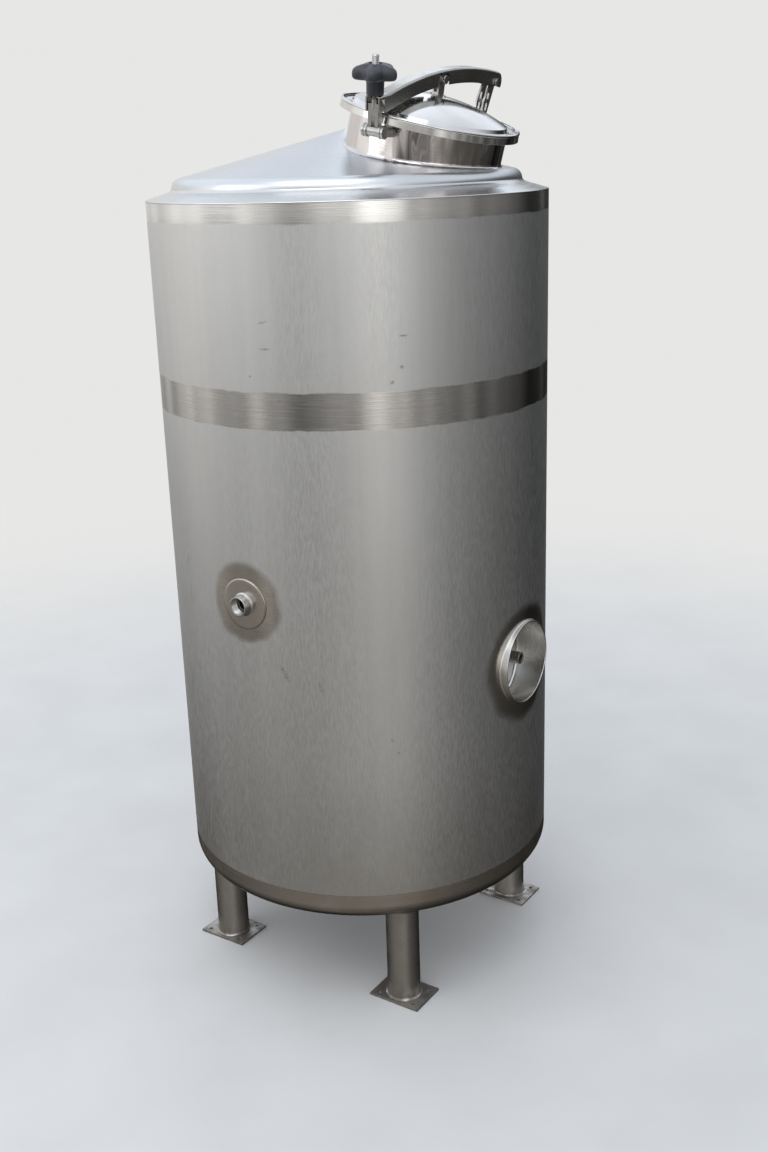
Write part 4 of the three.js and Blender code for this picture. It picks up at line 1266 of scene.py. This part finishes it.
# %% Levels of light round the tank
# Turn from the camera's side to its right in degrees, then brightness there
SIDE_LEVELS = [(-180, 0.8), (-150, 0.8), (-143, 0.9), (-120, 0.90), (-115, 1.18), (-90, 1.2), (-84, 0.8),
               (-68, 0.8), (-62, 1.08), (-46, 1.05), (-40, 0.72), (-24, 0.72), (-18, 1.1), (-8, 1.2),
               (-3, 1.1), (2, 1.1), (6, 1.9), (25, 1.75), (31, 0.64), (50, 0.50), (55, 0.40), (67, 0.36),
               (72, 0.21), (95, 0.20), (113, 0.06), (120, 0.03), (139, 0.03), (142, 0.25), (146, 0.03),
               (165, 0.05), (176, 0.4)]
SKY_LEVELS = [(-180, 0.85), (-155, 1.2), (-60, 1.15), (0, 1.15), (60, 0.92), (140, 0.92), (165, 1.3),
              (180, 1.6)]
GROUND_LEVELS = [(-180, 0.02), (-125, 0.05), (-95, 0.14), (-40, 0.28), (10, 0.30), (45, 0.12), (90, 0.06),
                 (130, 0.02), (180, 0.02)]
# The same for the busy ring, as a share of the side's own brightness
LOW_LEVELS = [(-180, 0.95), (-100, 1.1), (-48, 1.05), (-40, 0.55), (0, 0.55), (8, 0.85), (27, 0.95),
              (31, 1.4), (36, 0.85), (43, 1.45), (49, 0.8), (57, 1.5), (63, 0.85), (70, 1.6), (77, 1.0),
              (86, 1.4), (93, 0.85), (112, 1.5), (118, 0.85), (150, 1.0)]
STRIPES = 40.0  # noise cells in a whole turn of the busy ring
BACKDROP = (0.80, 0.80, 0.79, 1)
WARM_LIGHT = (1.0, 0.985, 0.955, 1)
COOL_LIGHT = (0.91, 0.97, 1.06, 1)
GROUND_LIGHT = (1.0, 0.96, 0.88, 1)
print("levels in the rings:", len(SIDE_LEVELS), len(SKY_LEVELS), len(GROUND_LEVELS), len(LOW_LEVELS))

# %% Surroundings and lights


def ring_of_levels(tree, share, levels):
    """Brightness all the way round, from a colour ramp that holds up to twice its white."""
    ramp = node(tree, "ValToRGB", Fac=share)
    stops = ramp.color_ramp.elements
    while len(stops) < len(levels):
        stops.new(1.0)
    for stop, (turn, level) in zip(stops, levels):
        stop.position = (turn + 180) / 360
        stop.color = (level / 2, level / 2, level / 2, 1)
    return times(tree, ramp.outputs[0], 2.0)


def round_the_room(tree, axes):
    """Turn from the camera's side, as a share of a whole turn with that side in the middle."""
    angle = calc(tree, "DEGREES", calc(tree, "ARCTAN2", axes[1], axes[0]))
    facing = math.degrees(math.atan2(CAMERA_PLACE.y, CAMERA_PLACE.x))
    turn = calc(tree, "DIVIDE", calc(tree, "SUBTRACT", angle, facing), 360)
    return calc(tree, "FRACT", plus(tree, turn, 1.5))


def room_light(tree, axes):
    """Light from each direction: sky, sides and ground, by how steep the direction is."""
    share = round_the_room(tree, axes)
    steep = axes[2]
    sides = ring_of_levels(tree, share, SIDE_LEVELS)
    stripes = node(tree, "TexNoise", {"noise_dimensions": "1D"}, W=share, Scale=STRIPES, Detail=3.0)
    stripes = remap(tree, stripes.outputs["Fac"], 0.36, 0.64, 0.60, 1.35)
    busy = times(tree, times(tree, sides, stripes), ring_of_levels(tree, share, LOW_LEVELS))
    busy = times(tree, busy, remap(tree, steep, -0.26, 0.02, 0.42, 1.0))
    sides = times(tree, sides, remap(tree, steep, -0.26, 0.02, 0.33, 1.0))
    low = times(tree, remap(tree, steep, -0.50, -0.36), remap(tree, steep, -0.10, 0.0, 1.0, 0.0))
    sides = scaled(tree, WARM_LIGHT, blend_values(tree, low, sides, busy))
    sky = scaled(tree, COOL_LIGHT, ring_of_levels(tree, share, SKY_LEVELS))
    ground = ring_of_levels(tree, share, GROUND_LEVELS)
    ground = scaled(tree, GROUND_LIGHT, times(tree, ground, remap(tree, steep, -0.95, -0.50, 0.6, 1.0)))
    light = colour_mix(tree, remap(tree, steep, 0.19, 0.38), sides, sky)
    return colour_mix(tree, remap(tree, steep, -0.42, -0.24, 1.0, 0.0), light, ground)


def surroundings():
    world = bpy.data.worlds.new("studio_room")
    bpy.context.scene.world = world
    world.use_nodes = True
    tree = world.node_tree
    room = tree.nodes["Background"]
    axes = node(tree, "SeparateXYZ", Vector=node(tree, "TexCoord").outputs["Generated"]).outputs
    feed(tree, room.inputs["Color"], room_light(tree, axes))
    pale = node(tree, "Background", Color=BACKDROP)
    choice = node(tree, "MixShader", Fac=node(tree, "LightPath").outputs["Is Camera Ray"])
    tree.links.new(room.outputs[0], choice.inputs[1])
    tree.links.new(pale.outputs[0], choice.inputs[2])
    tree.links.new(choice.outputs[0], tree.nodes["World Output"].inputs[0])
    print("nodes in the room's light:", len(tree.nodes))


def soft_light(name, turn, away, height, size, power, aim=0.9):
    """A square softbox. turn is measured from the camera's side, to the camera's right,
    and aim is the height on the tank's axis that it points at."""
    data = bpy.data.lights.new(name, "AREA")
    data.size = size
    data.energy = power
    light = bpy.data.objects.new(name, data)
    angle = math.atan2(CAMERA_PLACE.y, CAMERA_PLACE.x) + math.radians(turn)
    light.location = (away * math.cos(angle), away * math.sin(angle), height)
    direction = Vector((0, 0, aim)) - light.location
    light.rotation_euler = direction.to_track_quat("-Z", "Y").to_euler()
    bpy.context.scene.collection.objects.link(light)


surroundings()
soft_light("key_light", -72, 3.6, 2.7, 2.2, 15)
soft_light("top_light", -20, 2.2, 4.2, 2.6, 30, 1.6)
print("softboxes:", [light.name for light in bpy.data.lights])

# %% [markdown]
# The floor is a round disc, pale and matt. Its edge would draw a line across
# the backdrop, so its Alpha falls to nothing before the edge is reached.

# %% The floor
FLOOR_R = 4.0


def pale_floor():
    bm = bmesh.new()
    bmesh.ops.create_circle(bm, cap_ends=True, segments=96, radius=FLOOR_R)
    mesh = bpy.data.meshes.new("floor")
    bm.to_mesh(mesh)
    bm.free()
    floor = bpy.data.objects.new("floor", mesh)
    bpy.context.scene.collection.objects.link(floor)
    material, tree, shader, place = new_finish("pale_floor", (0.62, 0.615, 0.60), 0.0, 0.75)
    tone = grain(tree, place, (3, 3, 3), 4.0)
    tone = colour_mix(tree, tone, (0.64, 0.635, 0.62, 1), (0.60, 0.595, 0.58, 1))
    tree.links.new(tone, shader.inputs["Base Color"])
    away = node(tree, "VectorMath", {"operation": "LENGTH"}, Vector=place).outputs["Value"]
    tree.links.new(remap(tree, away, 1.2, FLOOR_R * 0.97, 1.0, 0.0), shader.inputs["Alpha"])
    mesh.materials.append(material)
    floor.visible_glossy = False  # the steel reflects the room's darker ground instead


pale_floor()
print("floor radius:", FLOOR_R)
